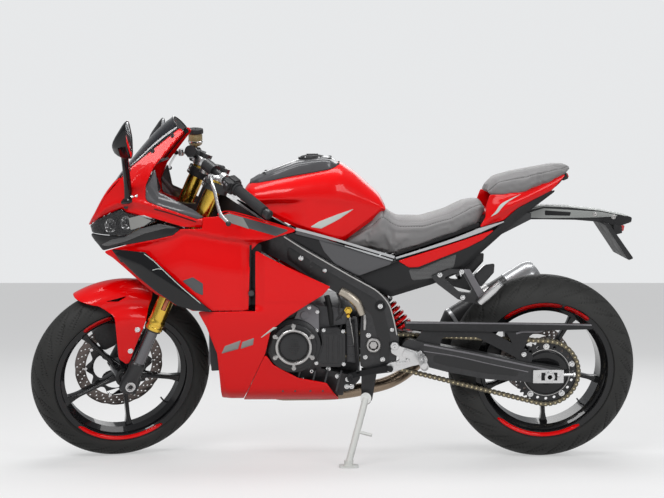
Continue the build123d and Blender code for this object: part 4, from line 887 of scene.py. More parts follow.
def rim_stripes(width, *arcs):
    """Painted arcs on the rim's lip, each side, from (start, end) degrees."""
    strips = []
    for start, end in arcs:
        for side in (-1, 1):
            sections = []
            for k in range(41):
                a = radians(start + (end - start) * k / 40)
                half = 7 * min(1.0, k / 3 + 0.2, (40 - k) / 3 + 0.2)
                sections.append([
                    (r * cos(a), side * (width / 2 + 0.3 - 0.2 * max(0, 226 - r)), r * sin(a))
                    for r in (221 + half, 226, 221 - half)
                ])
            strips.append(skin(sections, 0.5))
    return joined("stripes", *strips)


def disc_window(a, middle, gap):
    """Oval hole of a disc carrier, at an angle."""
    return [
        (middle * cos(a) + gap * (cos(b) * cos(a) - 1.35 * sin(b) * sin(a)),
         middle * sin(a) + gap * (cos(b) * sin(a) + 1.35 * sin(b) * cos(a)))
        for b in reversed(turns(20))
    ]


def drilled_disc(radius, band, bore, y_inner, sides):
    """Ground band drilled in slanting rows, floating on a spoked carrier."""
    y_in, y_out = (y_inner, y_inner + 5) if y_inner > 0 else (y_inner - 5, y_inner)
    inner = radius - band
    scallop = [polar(radius - 2.2 * max(0, cos(10 * a)) ** 3, a) for a in turns(240)]
    holes = [
        hole(3.1, 10, polar(inner + 8 + q * (band - 16) / 2, 2 * pi * (k + 0.33 * q) / 30))
        for k in range(30) for q in range(3)
    ]
    face = plate([scallop, hole(inner, 96)] + holes, y_in, y_out, 0.4)
    star = [polar(inner - 9 + 10 * cos(sides * a), a) for a in turns(sides * 12)]
    middle, gap = (inner - 22 + bore) / 2, (inner - 30 - bore) / 2
    windows = [disc_window(a, middle, gap) for a in turns(5, 0.5)]
    carrier = plate([star, hole(bore, 40)] + windows, y_in - 0.4, y_out + 0.4, 0.8)
    button = lathe([
        (0, y_in - 2.4), (5.5, y_in - 2.4), (6.4, y_in - 1.4),
        (6.4, y_out + 1.4), (5.5, y_out + 2.4), (0, y_out + 2.4),
    ], 16)
    buttons = [moved(button, round_y(inner, a)) for a in turns(sides)]
    return face, carrier, joined("buttons", *buttons)


# Each tyre's second slot paints shade onto its groove floors.
on_front_wheel("front_tyre_tread", tyre(FRONT_R, 120, 104, 0.3), "tyre", "tyre groove", "front_tyre")
on_rear_wheel("rear_tyre_tread", tyre(REAR_R, 160, 140, 0.0), "tyre", "tyre groove", "rear_tyre")
on_front_wheel("front_rim_cast", rim(104, 34, 60, 60), "rim_black", "rim", "front_rim")
on_rear_wheel("rear_rim_cast", rim(140, 46, 93, 88), "rim_black", "rim", "rear_rim")
on_front_wheel("front_rim_stripes", rim_stripes(104, (-136, -58), (100, 126)), "red_paint", "red")
on_rear_wheel("rear_rim_stripes", rim_stripes(140, (-133, -57), (50, 74), (76, 128)), "red_paint", "red")
face, carrier, button = drilled_disc(150, 36, 19, 60, 10)
on_front_wheel("front_disc_band", face, "disc_steel", "disc", "front_disc")
on_front_wheel("front_disc_carrier", carrier, "rim_black", "frame")
on_front_wheel("front_disc_buttons", button, "alloy_bright", "chrome")
face, carrier, button = drilled_disc(120, 32, 20.5, 88, 6)
on_rear_wheel("rear_disc_band", joined("disc", face, carrier), "disc_steel", "disc", "rear_disc")
on_rear_wheel("rear_disc_buttons", button, "alloy_bright", "chrome")


# ---------------------------------------------------------------- chain drive
CHAIN_PITCH, REAR_TEETH, FRONT_TEETH, CHAIN_LINE = 15.875, 42, 15, 96
OUTPUT = Vector((45, 0, 412))
PITCH_RADIUS = CHAIN_PITCH / (2 * sin(pi / REAR_TEETH))


def toward(angle):
    return Vector(polar(1, angle))


def chain_places():
    """Pin places round the loop, from the same sizes as the source."""
    big, small = PITCH_RADIUS, CHAIN_PITCH / (2 * sin(pi / FRONT_TEETH))
    rear, front = Vector((REAR_AXLE.x, REAR_AXLE.z)), Vector((OUTPUT.x, OUTPUT.z))
    span = rear - front
    slope, opening = atan2(span.y, span.x), asin((big - small) / span.length)
    straight = sqrt(span.length ** 2 - (big - small) ** 2)
    wraps = (big * (pi + 2 * opening), small * (pi - 2 * opening))
    total = 2 * straight + sum(wraps)
    links = 2 * round(total / CHAIN_PITCH / 2)
    for travel in (total * k / links for k in range(links)):
        if travel < straight:
            a = slope + pi / 2 + opening
            yield front + toward(a) * small + toward(slope + opening) * travel
        elif travel < straight + wraps[0]:
            a = slope + pi / 2 + opening - (travel - straight) / big
            yield rear + toward(a) * big
        elif travel < 2 * straight + wraps[0]:
            a, ahead = slope - pi / 2 - opening, slope + pi - opening
            yield rear + toward(a) * big + toward(ahead) * (travel - straight - wraps[0])
        else:
            a = slope - pi / 2 - opening - (travel - 2 * straight - wraps[0]) / small
            yield front + toward(a) * small


def link(gap, height):
    """One link: two waisted plates, lying along X from pin to pin."""
    half = CHAIN_PITCH / 2
    outline = [
        (-half - height / 2, height * 0.3, 3), (-half - height * 0.3, height / 2, 3),
        (-half + 3, height / 2, 3), (0, height * 0.33, 5), (half - 3, height / 2, 3),
        (half + height * 0.3, height / 2, 3), (half + height / 2, height * 0.3, 3),
    ]
    rows = outline + [(x, -z, r) for x, z, r in reversed(outline)]
    ends = ((-gap - 1.6, -gap), (gap, gap + 1.6))
    return joined("link", *[plate([shape(rows, 9)], low, high, 0.35) for low, high in ends])


places = list(chain_places())
roller = lathe([
    (0, -8.4), (2.6, -8.4), (2.6, -3.6), (5.0, -3.4), (5.0, 3.4), (2.6, 3.6), (2.6, 8.4), (0, 8.4),
], 10)
kinds = link(4.0, 14.6), link(6.0, 14.2)
links, rollers = [], []
for k, spot in enumerate(places):
    following = places[(k + 1) % len(places)]
    middle, run = (spot + following) / 2, following - spot
    turned = Matrix.Rotation(-atan2(run.y, run.x), 4, "Y")
    links.append(moved(kinds[k % 2], at(middle.x, -CHAIN_LINE, middle.y) @ turned))
    rollers.append(moved(roller, at(spot.x, -CHAIN_LINE, spot.y)))
on_chassis("chain_links", joined("chain", *links), "chain_steel", "chain", "drive_chain")
on_chassis("chain_rollers", joined("rollers", *rollers), "chain_steel", "pin")

teeth = []
for a in turns(REAR_TEETH * 6):
    rise = 0.5 - 0.5 * cos(REAR_TEETH * a)
    teeth.append(polar(PITCH_RADIUS - 7.2 + 9.0 * rise ** 1.6, a))
cuts = [hole(5, 14, polar(88, radians(91 + 18 * k))) for k in range(20) if k % 4]
sprocket = plate([teeth, hole(72, 72)] + cuts, -CHAIN_LINE - 3, -CHAIN_LINE + 3, 0.5)
on_rear_wheel("rear_sprocket_teeth", sprocket, "chain_steel", "frame", "rear_sprocket")
spots = [polar(88, radians(91 + 72 * k)) for k in range(5)]
nuts = [moved(screw(7.5, 6), at(x, -CHAIN_LINE - 3, z)) for x, z in spots]
on_rear_wheel("sprocket_nuts", joined("nuts", *nuts), "alloy_bright", "chrome")
hub_plate = lathe([
    (20, -97), (34, -97), (38, -99), (66, -99), (74, -97), (76, -95), (76, -92), (52, -90), (52, -70),
    (46, -66),
], 64)
on_rear_wheel("sprocket_carrier", hub_plate, "rim_black", "rim")
rings = lathe([(76.4, -99.2), (78.4, -99.4), (78.4, -98), (76.4, -98)], 72, closed=True)
on_rear_wheel("sprocket_ring", rings, "alloy_bright", "steel")


# ---------------------------------------------------------------- fairing
FAIRING_PLAN = [(-806, 8), (-792, 70), (-740, 122), (-600, 178), (-400, 206), (-150, 212), (120, 196)]
FAIRING_FRONT = [
    (214, 96), (260, 150), (420, 186), (545, 212), (720, 204), (860, 182), (1000, 140), (1120, 96),
    (1165, 70),
]
UPPER_COWL = [
    (-778, 806, 10), (-718, 903, 40), (-662, 962, 60), (-626, 1000, 20), (-480, 1118, 10), (-468, 1106, 8),
    (-560, 996, 40), (-584, 940, 30), (-584, 892, 20), (-548, 878, 20), (-420, 834, 10), (-400, 838, 0),
    (-407, 806, 0), (-466, 809, 30), (-560, 836, 30), (-650, 854, 14), (-664, 866, 14), (-748, 830, 20),
]
HEADLIGHT = [
    (-784, 802, 4), (-748, 828, 20), (-664, 864, 14), (-650, 852, 14), (-560, 834, 30), (-552, 826, 6),
    (-606, 806, 20), (-648, 779, 10), (-724, 779, 10), (-776, 781, 10),
]
NOSE_TRIM = [
    (-782, 772, 4), (-776, 779, 6), (-724, 777, 10), (-648, 777, 10), (-606, 804, 20), (-540, 820, 14),
    (-470, 805, 10), (-496, 784, 14), (-560, 768, 30), (-650, 750, 30), (-735, 726, 10),
]
NOSE_FOLD = [(-782, 760), (-650, 758), (-470, 790)]
WEAVE = [
    (-742, 744, 3), (-700, 765, 10), (-653, 776, 20), (-606, 803, 20), (-542, 819, 10), (-474, 806, 3),
    (-520, 806, 14), (-590, 788, 20), (-650, 762, 20), (-716, 742, 8),
]
SIDE_PANEL = [
    (-735, 724, 10), (-650, 748, 30), (-560, 766, 30), (-496, 782, 14), (-470, 803, 10), (-405, 805, 0),
    (-400, 840, 0), (-361, 842, 10), (-317, 856, 14), (-106, 797, 4), (-173, 777, 20), (-228, 758, 20),
    (-254, 732, 20), (-262, 545, 4), (-376, 545, 4), (-440, 543, 8), (-556, 594, 20), (-700, 706, 20),
]
MID_PANEL = [
    (-424, 540, 6), (-262, 543, 0), (-240, 543, 0), (-238, 736, 6), (-151, 691, 20), (-2, 620, 3),
    (-26, 594, 10), (-133, 527, 30), (-192, 478, 30), (-212, 398, 8), (-288, 236, 4), (-359, 236, 6),
    (-366, 400, 20), (-396, 488, 30),
]
BELLY_PAN = [
    (-212, 397, 8), (-186, 359, 14), (-108, 313, 30), (-15, 294, 14), (22, 232, 3), (-287, 232, 0),
]
WINGLET = [
    (-706, 736, 6), (-586, 732, 8), (-526, 680, 8), (-466, 624, 10), (-372, 541, 3), (-436, 547, 10),
    (-489, 562, 10), (-554, 606, 20), (-620, 658, 20),
]
INNER_TRIM = [
    (-558, 994, 4), (-584, 940, 20), (-584, 892, 20), (-548, 878, 20), (-420, 834, 10), (-400, 840, 0),
    (-424, 858, 6), (-512, 902, 10), (-546, 918, 10), (-552, 960, 6),
]
INNER_FOLD = [(-584, 930), (-548, 880), (-400, 838)]
BROW_LINE = [(-792, 812), (-743, 843), (-721, 862), (-682, 880), (-622, 890), (-560, 876), (-420, 830)]
LEDGE_LINE = [
    (-720, 728), (-640, 752), (-560, 768), (-505, 782), (-459, 802), (-413, 793), (-366, 783), (-320, 776),
    (-262, 770),
]
WING_FOLD = [(-706, 722), (-600, 690), (-500, 626), (-372, 541)]


def outer(x, z):
    """Half width of the fairing's outer form, from its plan and its front outline."""
    wide, tall = eased(FAIRING_PLAN, x, 26), eased(FAIRING_FRONT, z, 22)
    near = max(12 - abs(wide - tall), 0) / 12
    return min(wide, tall) - near * near * 3


def set_back(depth):
    return lambda x, z: outer(x, z) - depth


def cowl_surface(x, z):
    """Upper cowl, undercut below the crease that runs back from the nose."""
    below = between(BROW_LINE, x) - z
    cut = min(13.0, max(0.0, below) * 0.55)
    return outer(x, z) - cut + 2.2 * exp(-((below + 1) / 5) ** 2)


def side_surface(x, z):
    """Side panel with the long hollow below its ledge and a rolled rear edge."""
    below = between(LEDGE_LINE, x) - z
    hollow = step_up(below, 0, 13) * (1 - step_up(below, 26, 120)) * step_up(x, -730, -560)
    rolled = step_up(x, -284, -264) * (1 - step_up(z, 745, 775))
    front = 1 - step_up(x + 0.9 * (z - 545), -470, -400)
    return outer(x, z) - 11 * hollow - 9 * rolled - 5 * front * (1 - step_up(z, 560, 640))


def mid_surface(x, z):
    """Mid panel: front strip folded inwards, a rolled edge at the slot and a soft crease."""
    fold = max(0.0, -412 + (540 - z) * 0.13 - x) if z < 540 else 0.0
    slant = max(0, 488 - z) * 0.22
    leading = 1 - step_up(x, -408 + slant, -384 + slant)
    slot = (1 - step_up(x, -236, -204)) * step_up(x, -262, -240) * step_up(z, 540, 560)
    crease = step_up(z, 566, 574) * step_up(x, -236, -210)
    lower = 1 - step_up(z - 0.35 * (x + 300), 300, 420)
    return outer(x, z) - fold * 0.2 - 8 * leading - 9 * slot + 2.0 * crease + 1.5 * lower


def belly_surface(x, z):
    return outer(x, z) + 1.5 * (1 - step_up(z, 250, 262))


def wing_surface(x, z):
    """Blade that leaves the side panel and returns to it, folded along its middle."""
    share = min(1.0, max(0.0, (x + 706) / 334))
    lift = 8 + 17 * sin(pi * min(1, share * 1.05 + 0.02)) ** 0.8
    return outer(x, z) + lift - 0.22 * abs(z - between(WING_FOLD, x))


def nose_surface(x, z):
    return outer(x, z) - 2 - 5 * step_up(between(NOSE_FOLD, x) - z, 0, 20)


def inner_surface(x, z):
    return outer(x, z) - 4 - 8 * step_up(z - between(INNER_FOLD, x), 0, 22)


def brow():
    """Nose and screen surround between the side skins, rounded in plan."""
    crest = side_line([(-796, 804), (-768, 846), (-735, 900), (-706, 938), (-684, 962)], 6)
    edge = side_line([(-778, 806), (-751, 850), (-718, 903), (-692, 935), (-662, 962)], 6)
    sections = []
    for front, back in zip(crest, edge):
        half = cowl_surface(back.x, back.y) - 1
        row = []
        for a in (pi * (k / 24 - 0.5) for k in range(25)):
            inset = abs(cos(a)) ** 0.85
            ridge = 3.0 * exp(-(sin(a) * half / 9) ** 2)
            x = back.x + (front.x - back.x - 2) * inset - ridge
            row.append((x, half * sin(a), back.y + (front.y - back.y) * inset))
        sections.append(row)
    return crisp(skin(sections, 4.0, -1.0), 50)


def screen_row(front, back):
    """Half round of the screen between its crest and its lower edge."""
    half = outer(back.x, back.y) - 5
    return [
        (back.x + (front.x - back.x) * cos(a), half * sin(a), back.y + (front.y - back.y) * cos(a))
        for a in (pi * (k / 32 - 0.5) for k in range(33))
    ]


cowl = panel(UPPER_COWL, cowl_surface, 4.5, 6.0)
on_chassis("cowl_skins", joined("cowl", both(cowl), brow()), "red_paint", "red", "upper_cowl")
seam = [(x, -(outer(x, level) - 7), z) for x, level, z in (
    (-566, 1010, 1010), (-520, 1060, 1062), (-486, 1096, 1098))]
seams = [
    tube(seam, 2.2, 8),
    moved(screw(7, 4), facing(-487, -(outer(-487, 1104) - 5), 1104, (0.2, 1, 0))),
    ribbon([(-556, 866), (-500, 851), (-424, 826)], 3, lambda x, z: cowl_surface(x, z) + 0.4, 0.4),
]
on_chassis("cowl_seams", both(*seams), "black_satin", "dark")

crest = side_line([(-712, 928), (-668, 992), (-600, 1076), (-548, 1128), (-514, 1154)], 6)
edge = side_line([(-672, 960), (-640, 994), (-580, 1042), (-530, 1080), (-484, 1114)], 6)
screen = [screen_row(front, back) for front, back in zip(crest, edge)]
on_chassis("screen_sheet", crisp(skin(screen, 3.0, -1.0), 50), "screen_smoke", "smoke", "windscreen")
on_chassis("screen_edge", tube(screen[-1], 2.0, 8, 2), "black_gloss", "gloss")
spots = ((-640, 986), (-566, 1046), (-505, 1094))
fixings = screws(6, 3, lambda x, z: -(outer(x, z) - 1.0), spots, (-0.3, -1, 0.5))
on_chassis("screen_screws", both(*fixings), "black_satin", "black")

on_chassis("side_skins", both(panel(SIDE_PANEL, side_surface, 4.5, 8.0)), "red_paint", "red", "side_panels")
on_chassis("mid_skins", both(panel(MID_PANEL, mid_surface, 4.5, 8.0)), "red_paint", "red", "mid_panels")

keel = []
for x in (-287, -220, -140, -60, 0, 22):
    half = outer(x, 234) - 3
    keel.append([
        (x, half * k / 10, 232 - 10 * cos(pi * k / 20) - (4 if abs(k) == 5 else 0)) for k in range(-10, 11)
    ])
belly = joined("belly", both(panel(BELLY_PAN, belly_surface, 4.5, 7.0)), skin(keel, 4.0))
on_chassis("belly_skins", belly, "red_paint", "red", "belly_pan")

strip = [(-356, 843, 3), (-318, 852, 8), (-131, 799, 3), (-172, 781, 6), (-312, 821, 8)]
on_chassis("shoulder_strips", both(patch(strip, side_surface, 0.9, 1.4)), "grey_paint", "grey")
tip = [(-354, 844, 2), (-318, 851, 8), (-276, 839, 1), (-256, 803, 1), (-312, 822, 8)]
on_chassis("shoulder_tips", both(patch(tip, side_surface, 1.3, 1.4)), "silver_paint", "pale_grey")
bars = [
    [(-352, 400, 1), (-340, 426, 1), (-288, 446, 1), (-298, 416, 1)],
    [(-290, 416, 1), (-284, 440, 1), (-246, 454, 1), (-250, 430, 1)],
]
marks = [patch(rows, mid_surface, 0.3, 0.5, 6.0) for rows in bars]
on_chassis("slanted_bars", both(*marks), "silver_paint", "pale_grey")
wedge = [(-226, 452, 1), (-170, 490, 1), (-184, 490, 1), (-220, 460, 1)]
on_chassis("slanted_wedge", both(patch(wedge, mid_surface, 0.3, 0.5, 6.0)), "silver_paint", "white")
edge = ribbon([(-356, 849), (-316, 858), (-200, 827), (-112, 800)], 3.5, side_surface, 1.0)
on_chassis("shoulder_edges", both(edge), "red_paint", "red")

CORNERS = ((-1, -1), (1, -1), (1, 1), (-1, 1))
liner = panel(
    [(-282, 560, 4), (-220, 560, 4), (-220, 752, 10), (-262, 770, 10), (-282, 752, 4)], set_back(24),
    3.0, 7.0, 0.6,
    [[(-256 + 7 * sx, z + 7 * sz, 6.5) for sx, sz in CORNERS] for z in (584, 608, 632, 656, 686, 716)],
)
rib = [(-262, 560, 2), (-256, 560, 2), (-250, 752, 2), (-256, 752, 2)]
on_chassis("slot_liners", both(liner, panel(rib, set_back(12), 11.0, 10.0, 1.0)), "black_satin", "dark")

nose = panel(NOSE_TRIM, nose_surface, 4.0, 6.0, 1.0)
on_chassis("nose_trims", both(nose), "black_gloss", "gloss", "nose_trim")
on_chassis("weave_strips", both(patch(WEAVE, nose_surface, 1.2, 1.6, 6.0)), "black_gloss", "carbon")

blade = panel(WINGLET, wing_surface, 5.5, 7.0, 2.0)
FEET = (
    [(-700, 734, 3), (-650, 732, 3), (-640, 702, 3), (-668, 694, 3)],
    [(-440, 598, 3), (-378, 545, 3), (-436, 549, 3), (-466, 562, 3)],
)
feet = [panel(rows, set_back(-12), 14, 8, 1) for rows in FEET]
on_chassis("wing_blades", both(blade, *feet), "black_gloss", "gloss", "winglets")
pins = [
    ribbon([(-588, 726), (-560, 706), (-530, 678), (-470, 622), (-382, 546)], 2.6, wing_surface, 0.4),
    ribbon([(-562, 676), (-544, 680), (-530, 678)], 2.2, wing_surface, 0.4),
]
on_chassis("wing_pinstripes", both(*pins), "silver_paint", "white")
line = [(-706, 731), (-660, 699), (-620, 660), (-554, 608), (-489, 564)]
under = ribbon(line, 5.0, lambda x, z: wing_surface(x, z) - 4, 0.0, 3.0)
on_chassis("wing_red_edges", both(under), "red_paint", "red")
wedge = [(-470, 640, 4), (-436, 652, 4), (-404, 632, 6), (-404, 594, 4), (-428, 604, 4)]
on_chassis("wing_wedges", both(patch(wedge, side_surface, 1.2, 2.0, 6.0)), "grey_paint", "grey")

# Lamp units: dark housings, chromed bowls with ribbed light bars, and clear covers.
opening = [(x + (-690 - x) * 0.12, z + (815 - z) * 0.16, r) for x, z, r in HEADLIGHT]
wall = modified(panel(HEADLIGHT, set_back(4), 26.0, 8.0, 0.4, [opening]), ("TRIANGULATE", {}))
housing = panel(HEADLIGHT, set_back(30), 4.0, 8.0, 0.8)
on_chassis("lamp_housings", both(housing, wall), "black_gloss", "gloss", "headlights")
LAMPS = ((-706, 806, 21), (-650, 818, 20))
BULB = [(0, -8), (6, -7), (11, -3), (13, 3), (13, 6), (0, 6)]
bowls, bulbs = [], []
for x, z, r in LAMPS:
    spot = facing(x, -(outer(x, z) - 20), z, (-0.55, -1, 0.1))
    bowls.append(moved(lathe([
        (0, 12), (r * 0.5, 10), (r * 0.8, 5), (r, -4), (r + 2, -5), (r + 2, -2), (r + 1, 2), (r * 0.85, 9),
        (r * 0.5, 14), (0, 15),
    ], 36), spot))
    bulbs.append(moved(lathe(BULB, 24), spot))
bar = [(-626, 842, 4), (-590, 846, 6), (-562, 836, 3), (-584, 816, 6), (-608, 803, 4), (-626, 800, 3)]
fins = [
    ribbon([(x, 802 + (x + 626) * 0.25), (x + 3, 842 - (x + 626) * 0.12)], 1.6, set_back(8.4), 0, 1.4, False)
    for x in range(-620, -572, 8)
]
on_chassis("lamp_bowls", both(*bowls), "alloy_bright", "chrome")
on_chassis("lamp_bars", both(patch(bar, set_back(9), 0, 5.0, 6.0), *fins), "silver_paint", "silver")
on_chassis("lamp_glass_bulbs", both(*bulbs), "lamp_glass", "lens")
triangle = [(-640, 836, 4), (-606, 845, 6), (-562, 830, 3), (-590, 812, 6), (-634, 798, 4)]
on_chassis("lamp_triangles", both(patch(triangle, set_back(-1.0), 0.4, 1.2, 6.0)), "lamp_glass", "pale_grey")
on_chassis("lamp_covers", both(panel(HEADLIGHT, set_back(0.5), 2.0, 7.0, 0.5)), "lamp_glass", "lens")

on_chassis("inner_trims", both(panel(INNER_TRIM, inner_surface, 4, 6, 1)), "grey_paint", "grey", "cockpit")
dash = joined(
    "dash",
    block((22, 164, 100), 8, at(-598, 0, 948) @ tilt(-16)),
    block((60, 172, 8), 3, at(-574, 0, 1002) @ tilt(-24)),
    block((40, 40, 36), 4, at(-604, 0, 890)),
    tube([(-592, -52, 905), (-576, -48, 886), (-560, -36, 870)], 4.5),
    tube([(-592, 40, 905), (-574, 36, 884), (-562, 26, 868)], 5.5),
)
on_chassis("dash_case", dash, "black_satin", "black")
on_chassis("dash_screen", block((3, 144, 80), 1.2, at(-585, 0, 948) @ tilt(-16)), "mirror_glass", "glow")

# Mirrors: teardrop heads with a rear glass, on tapering stalks bolted to the cowl.
HEAD_OUTLINE = [
    (-262, 1040, 22), (-292, 1026, 24), (-368, 1084, 40), (-374, 1138, 34), (-318, 1150, 50),
    (-264, 1094, 40),
]
outline = resampled(rounded(HEAD_OUTLINE, 5), 9)
middle = sum(outline, Vector((0, 0))) / len(outline)


def head_loft(rows, **settings):
    """Mirror sections from (x, share of the outline, rise)."""
    return loft([
        [
            (x, middle.x + (p.x - middle.x) * share, middle.y + (p.y - middle.y) * share + rise)
            for p in outline
        ]
        for x, share, rise in rows
    ], **settings)


head = head_loft([
    (-600, 0.97, 0), (-602, 1.0, 0), (-608, 0.96, -2), (-616, 0.87, -7), (-628, 0.70, -15),
    (-638, 0.53, -20), (-647, 0.33, -24), (-651, 0.17, -25), (-652, 0.04, -25),
], caps=False, angle=50)
bezel = head_loft([(-600, 0.97, 0), (-603, 0.93, 0), (-604, 0.9, 0)], caps=False)
STALK = [(-640, -152, 896), (-636, -182, 944), (-630, -232, 1000), (-622, -286, 1050), (-618, -300, 1070)]
stalk = tube(STALK, [15, 13, 12, 13, 13], 16, 6, flat=0.7)
base = tube([(-662, -150, 886), (-640, -158, 896), (-612, -152, 900)], [9, 19, 10], 14, 6, flat=0.5)
on_chassis("mirror_cases", both(head, bezel, stalk, base), "black_gloss", "gloss", "mirrors")
glass = head_loft([(-604, 0.93, 0), (-601.5, 0.915, 0), (-601, 0.85, 0)])
on_chassis("mirror_glasses", both(glass), "mirror_glass", "mirror")
bolts = screws(
    3.6, 2.4, lambda x, z: -(outer(x, 908) + 1), ((-626, 905), (-612, 907)), (0.1, -1, 0.5),
)
on_chassis("mirror_bolts", both(*bolts), "alloy_bright", "chrome")

# Front fender: turned about the axle and cut to its side outline.
FENDER = [
    (-160.5, 290, 12), (-122.5, 340, 40), (67.5, 340, 40), (101.5, 306, 20), (73.5, 245, 30),
    (45.5, 180, 20), (21.5, 125, 20), (-0.5, 68, 14), (-30.5, 95, 20), (-38.5, 240, 20), (-82.5, 272, 30),
]
section = [
    (326, 0), (325, 18), (320, 38), (309, 58), (294, 73), (278, 77), (264, 78), (252, 88), (240, 99),
    (226, 106), (200, 108), (120, 108), (60, 108),
]
inner = [
    (max(r - 3.6, 60), y - (0 if y < 40 else 2.0)) if r > 240 else (r, y - 3.6) for r, y in section
]
profile = section + inner[::-1] + [(r, -y) for r, y in inner[1:]] + [(r, -y) for r, y in section[:0:-1]]
fender = trimmed(lathe(profile, 220, closed=True), plate([shape(FENDER, 4)], -150, 150, 0.01), "INTERSECT")
for y in (-112, 52):
    slot = plate([shape([(-62, 285, 1), (14, 297, 2), (-20, 281, 6)], 3)], y, y + 60, 0.01)
    fender = trimmed(fender, slot, "DIFFERENCE")
fender = crisp(modified(fender, bevel(1.0, 60)), 40)
on_axle("fender_shell", fender, "red_paint", "red", "front_fender")


# ---------------------------------------------------------------- tank
TANK_TOP = [
    (-292, 886), (-284, 920), (-262, 942), (-180, 967), (-60, 993), (0, 1002), (34, 1001), (82, 969),
    (134, 921), (160, 897), (174, 872), (178, 852),
]
TANK_BASE = [(-292, 884), (-240, 857), (-112, 800), (10, 752), (40, 751), (86, 783), (134, 816), (178, 850)]
TANK_PLAN = [(-300, 66), (-262, 122), (-140, 141), (20, 134), (110, 94), (190, 62)]
TANK_SHOULDER = [
    (-290, 884), (-230, 888), (-180, 892), (-130, 893), (-60, 896), (20, 893), (90, 876), (178, 851),
]
TANK_STEPS = 26
COVER_TOP = [
    (-264, 946), (-240, 962), (-198, 979), (-139, 1001), (-110, 1012), (-60, 1019), (-22, 1022), (4, 1018),
    (20, 1006), (30, 988),
]
COVER_PLAN = [(-264, 44), (-240, 74), (-180, 91), (-60, 90), (0, 82), (20, 62), (30, 28)]


def tank_section(x):
    """Right half of the tank's cross-section at x, from its lower edge to the centre line."""
    top, base, half = eased(TANK_TOP, x, 12), eased(TANK_BASE, x, 10), eased(TANK_PLAN, x, 30)
    waist = min(max(between(TANK_SHOULDER, x), base + 2), top - 2)
    points = []
    for k in range(TANK_STEPS):
        z = base + (waist - base) * k / TANK_STEPS
        below = waist - z
        scoop = 21 * step_up(below, 0, 16) * (1 - step_up(x, -150, -66)) * step_up(x, -292, -250)
        scoop *= 1 - 0.45 * step_up(below, 38, 90)
        crease = 3.0 * step_up(below, 0, 26) * step_up(x, -80, -20) * (1 - step_up(x, 40, 90))
        tuck = 9 * step_up(base + 16 - z, 0, 16) + 0.05 * below
        points.append((half - scoop - crease - tuck, z))
    for k in range(TANK_STEPS + 1):
        a = pi / 2 * k / TANK_STEPS
        points.append((half * max(cos(a), 0) ** 0.86, waist + (top - waist) * sin(a) ** 0.92))
    return points


def tank_height(x, y):
    """Height of the tank's upper skin at a place."""
    return between(sorted(tank_section(x)[TANK_STEPS:]), abs(y))


def tank_side(x, z):
    """Half width of the tank's side at a place."""
    return between([(level, half) for half, level in tank_section(x)[:TANK_STEPS + 1]], z)


def cover_half(x):
    return eased(COVER_PLAN, x, 10)


def cover_section(x):
    """Raised cover on the tank at x, with a rolled lip and a sunk line along it."""
    half, top = cover_half(x), eased(COVER_TOP, x, 10)
    foot = tank_height(x, half) - 4
    lip = max(top - 14 - 0.06 * half, foot + 2)
    crown = [(half - 7, lip + 8)]
    for t in (1 - q / 8 for q in range(1, 9)):
        crown.append(((half - 7) * t, lip + 8 + (top - lip - 8) * (1 - t ** 2.4)))
    crown = [(y, z - 3.0 * exp(-((y - half * 0.62) / 5) ** 2)) for y, z in crown]
    return mirrored(x, [(half + 1, foot), (half, lip), (half - 2, lip + 4)] + crown)


tank_skin = loft([mirrored(x, tank_section(x)) for x in (-292 + 470 * (k / 85) for k in range(86))])
on_chassis("tank_shell", tank_skin, "red_paint", "red", "fuel_tank")
wedge = panel(
    [(-66, 802, 2), (-38, 819, 8), (20, 841, 4), (77, 858, 1), (26, 825, 6), (-31, 796, 4)],
    lambda x, z: tank_side(x, z) + 0.7, 1.0, 6.0, 0.2,
)
on_chassis("tank_stripes", both(wedge), "silver_paint", "white")
cover = loft([cover_section(-264 + 294 * k / 53) for k in range(54)], angle=38)
on_chassis("tank_cover_shell", cover, "grey_paint", "grey", "tank_cover")
edge = [(x, -(cover_half(x) + 1.2), tank_height(x, cover_half(x)) - 1) for x in range(-262, 30, 12)]
on_chassis("tank_cover_seal", both(tube(edge, 2.4, 8, 2)), "rubber", "rubber")
CAP_X, CAP_Z, CAP_SCREWS_R = -60, 1016, 43
cap = lathe([(0, 11), (22, 10.5), (34, 8), (38, 6), (40, 2), (46, 1.5), (47, -6)], 72)
lid = block((38, 3, 16), 1.5, at(0, 12, 0))
cap = moved(joined("cap", cap, lid), at(CAP_X, 0, CAP_Z) @ UPRIGHT)
on_chassis("filler_cap", cap, "black_satin", "black")
heads = [
    moved(screw(3.2, 2.4), at(CAP_X + x, y, CAP_Z + 2.5) @ tilt(-90, "X"))
    for x, y in (polar(CAP_SCREWS_R, pi / 3 * k) for k in range(6))
]
on_chassis("filler_screws", joined("screws", *heads), "alloy_bright", "chrome")
heads = [
    moved(screw(5, 3), facing(x, -(cover_half(x) - 24), eased(COVER_TOP, x, 10) - 2, (0, -0.15, 1)))
    for x in (-216, -2)
]
on_chassis("cover_screws", both(*heads), "black_satin", "black")


# ---------------------------------------------------------------- seats
RIDER_TOP = [
    (40, 752), (86, 785), (134, 820), (166, 850), (178, 846), (196, 828), (222, 815), (300, 813),
    (385, 838), (450, 873), (484, 885), (496, 866),
]
RIDER_BASE = [(40, 750), (110, 734), (202, 710), (242, 725), (403, 781), (476, 813), (496, 858)]
RIDER_PLAN = [(30, 90), (110, 94), (180, 104), (260, 134), (400, 130), (470, 108), (500, 84)]
PILLION_TOP = [
    (507, 908), (520, 926), (540, 951), (589, 961), (676, 977), (762, 993), (776, 992), (781, 986),
]
PILLION_BASE = [(507, 908), (516, 897), (556, 896), (620, 907), (705, 937), (768, 968), (781, 982)]
PILLION_PLAN = [(505, 76), (530, 100), (640, 99), (740, 74), (781, 46)]
PRESSURE, CLOTH_STEPS, MOST_SWELL, VOXEL = 4.0, 20, 7.0, 5.0
CHANNEL_DEPTH, CHANNEL_WIDTH, STITCH = 2.4, 3.2, 6


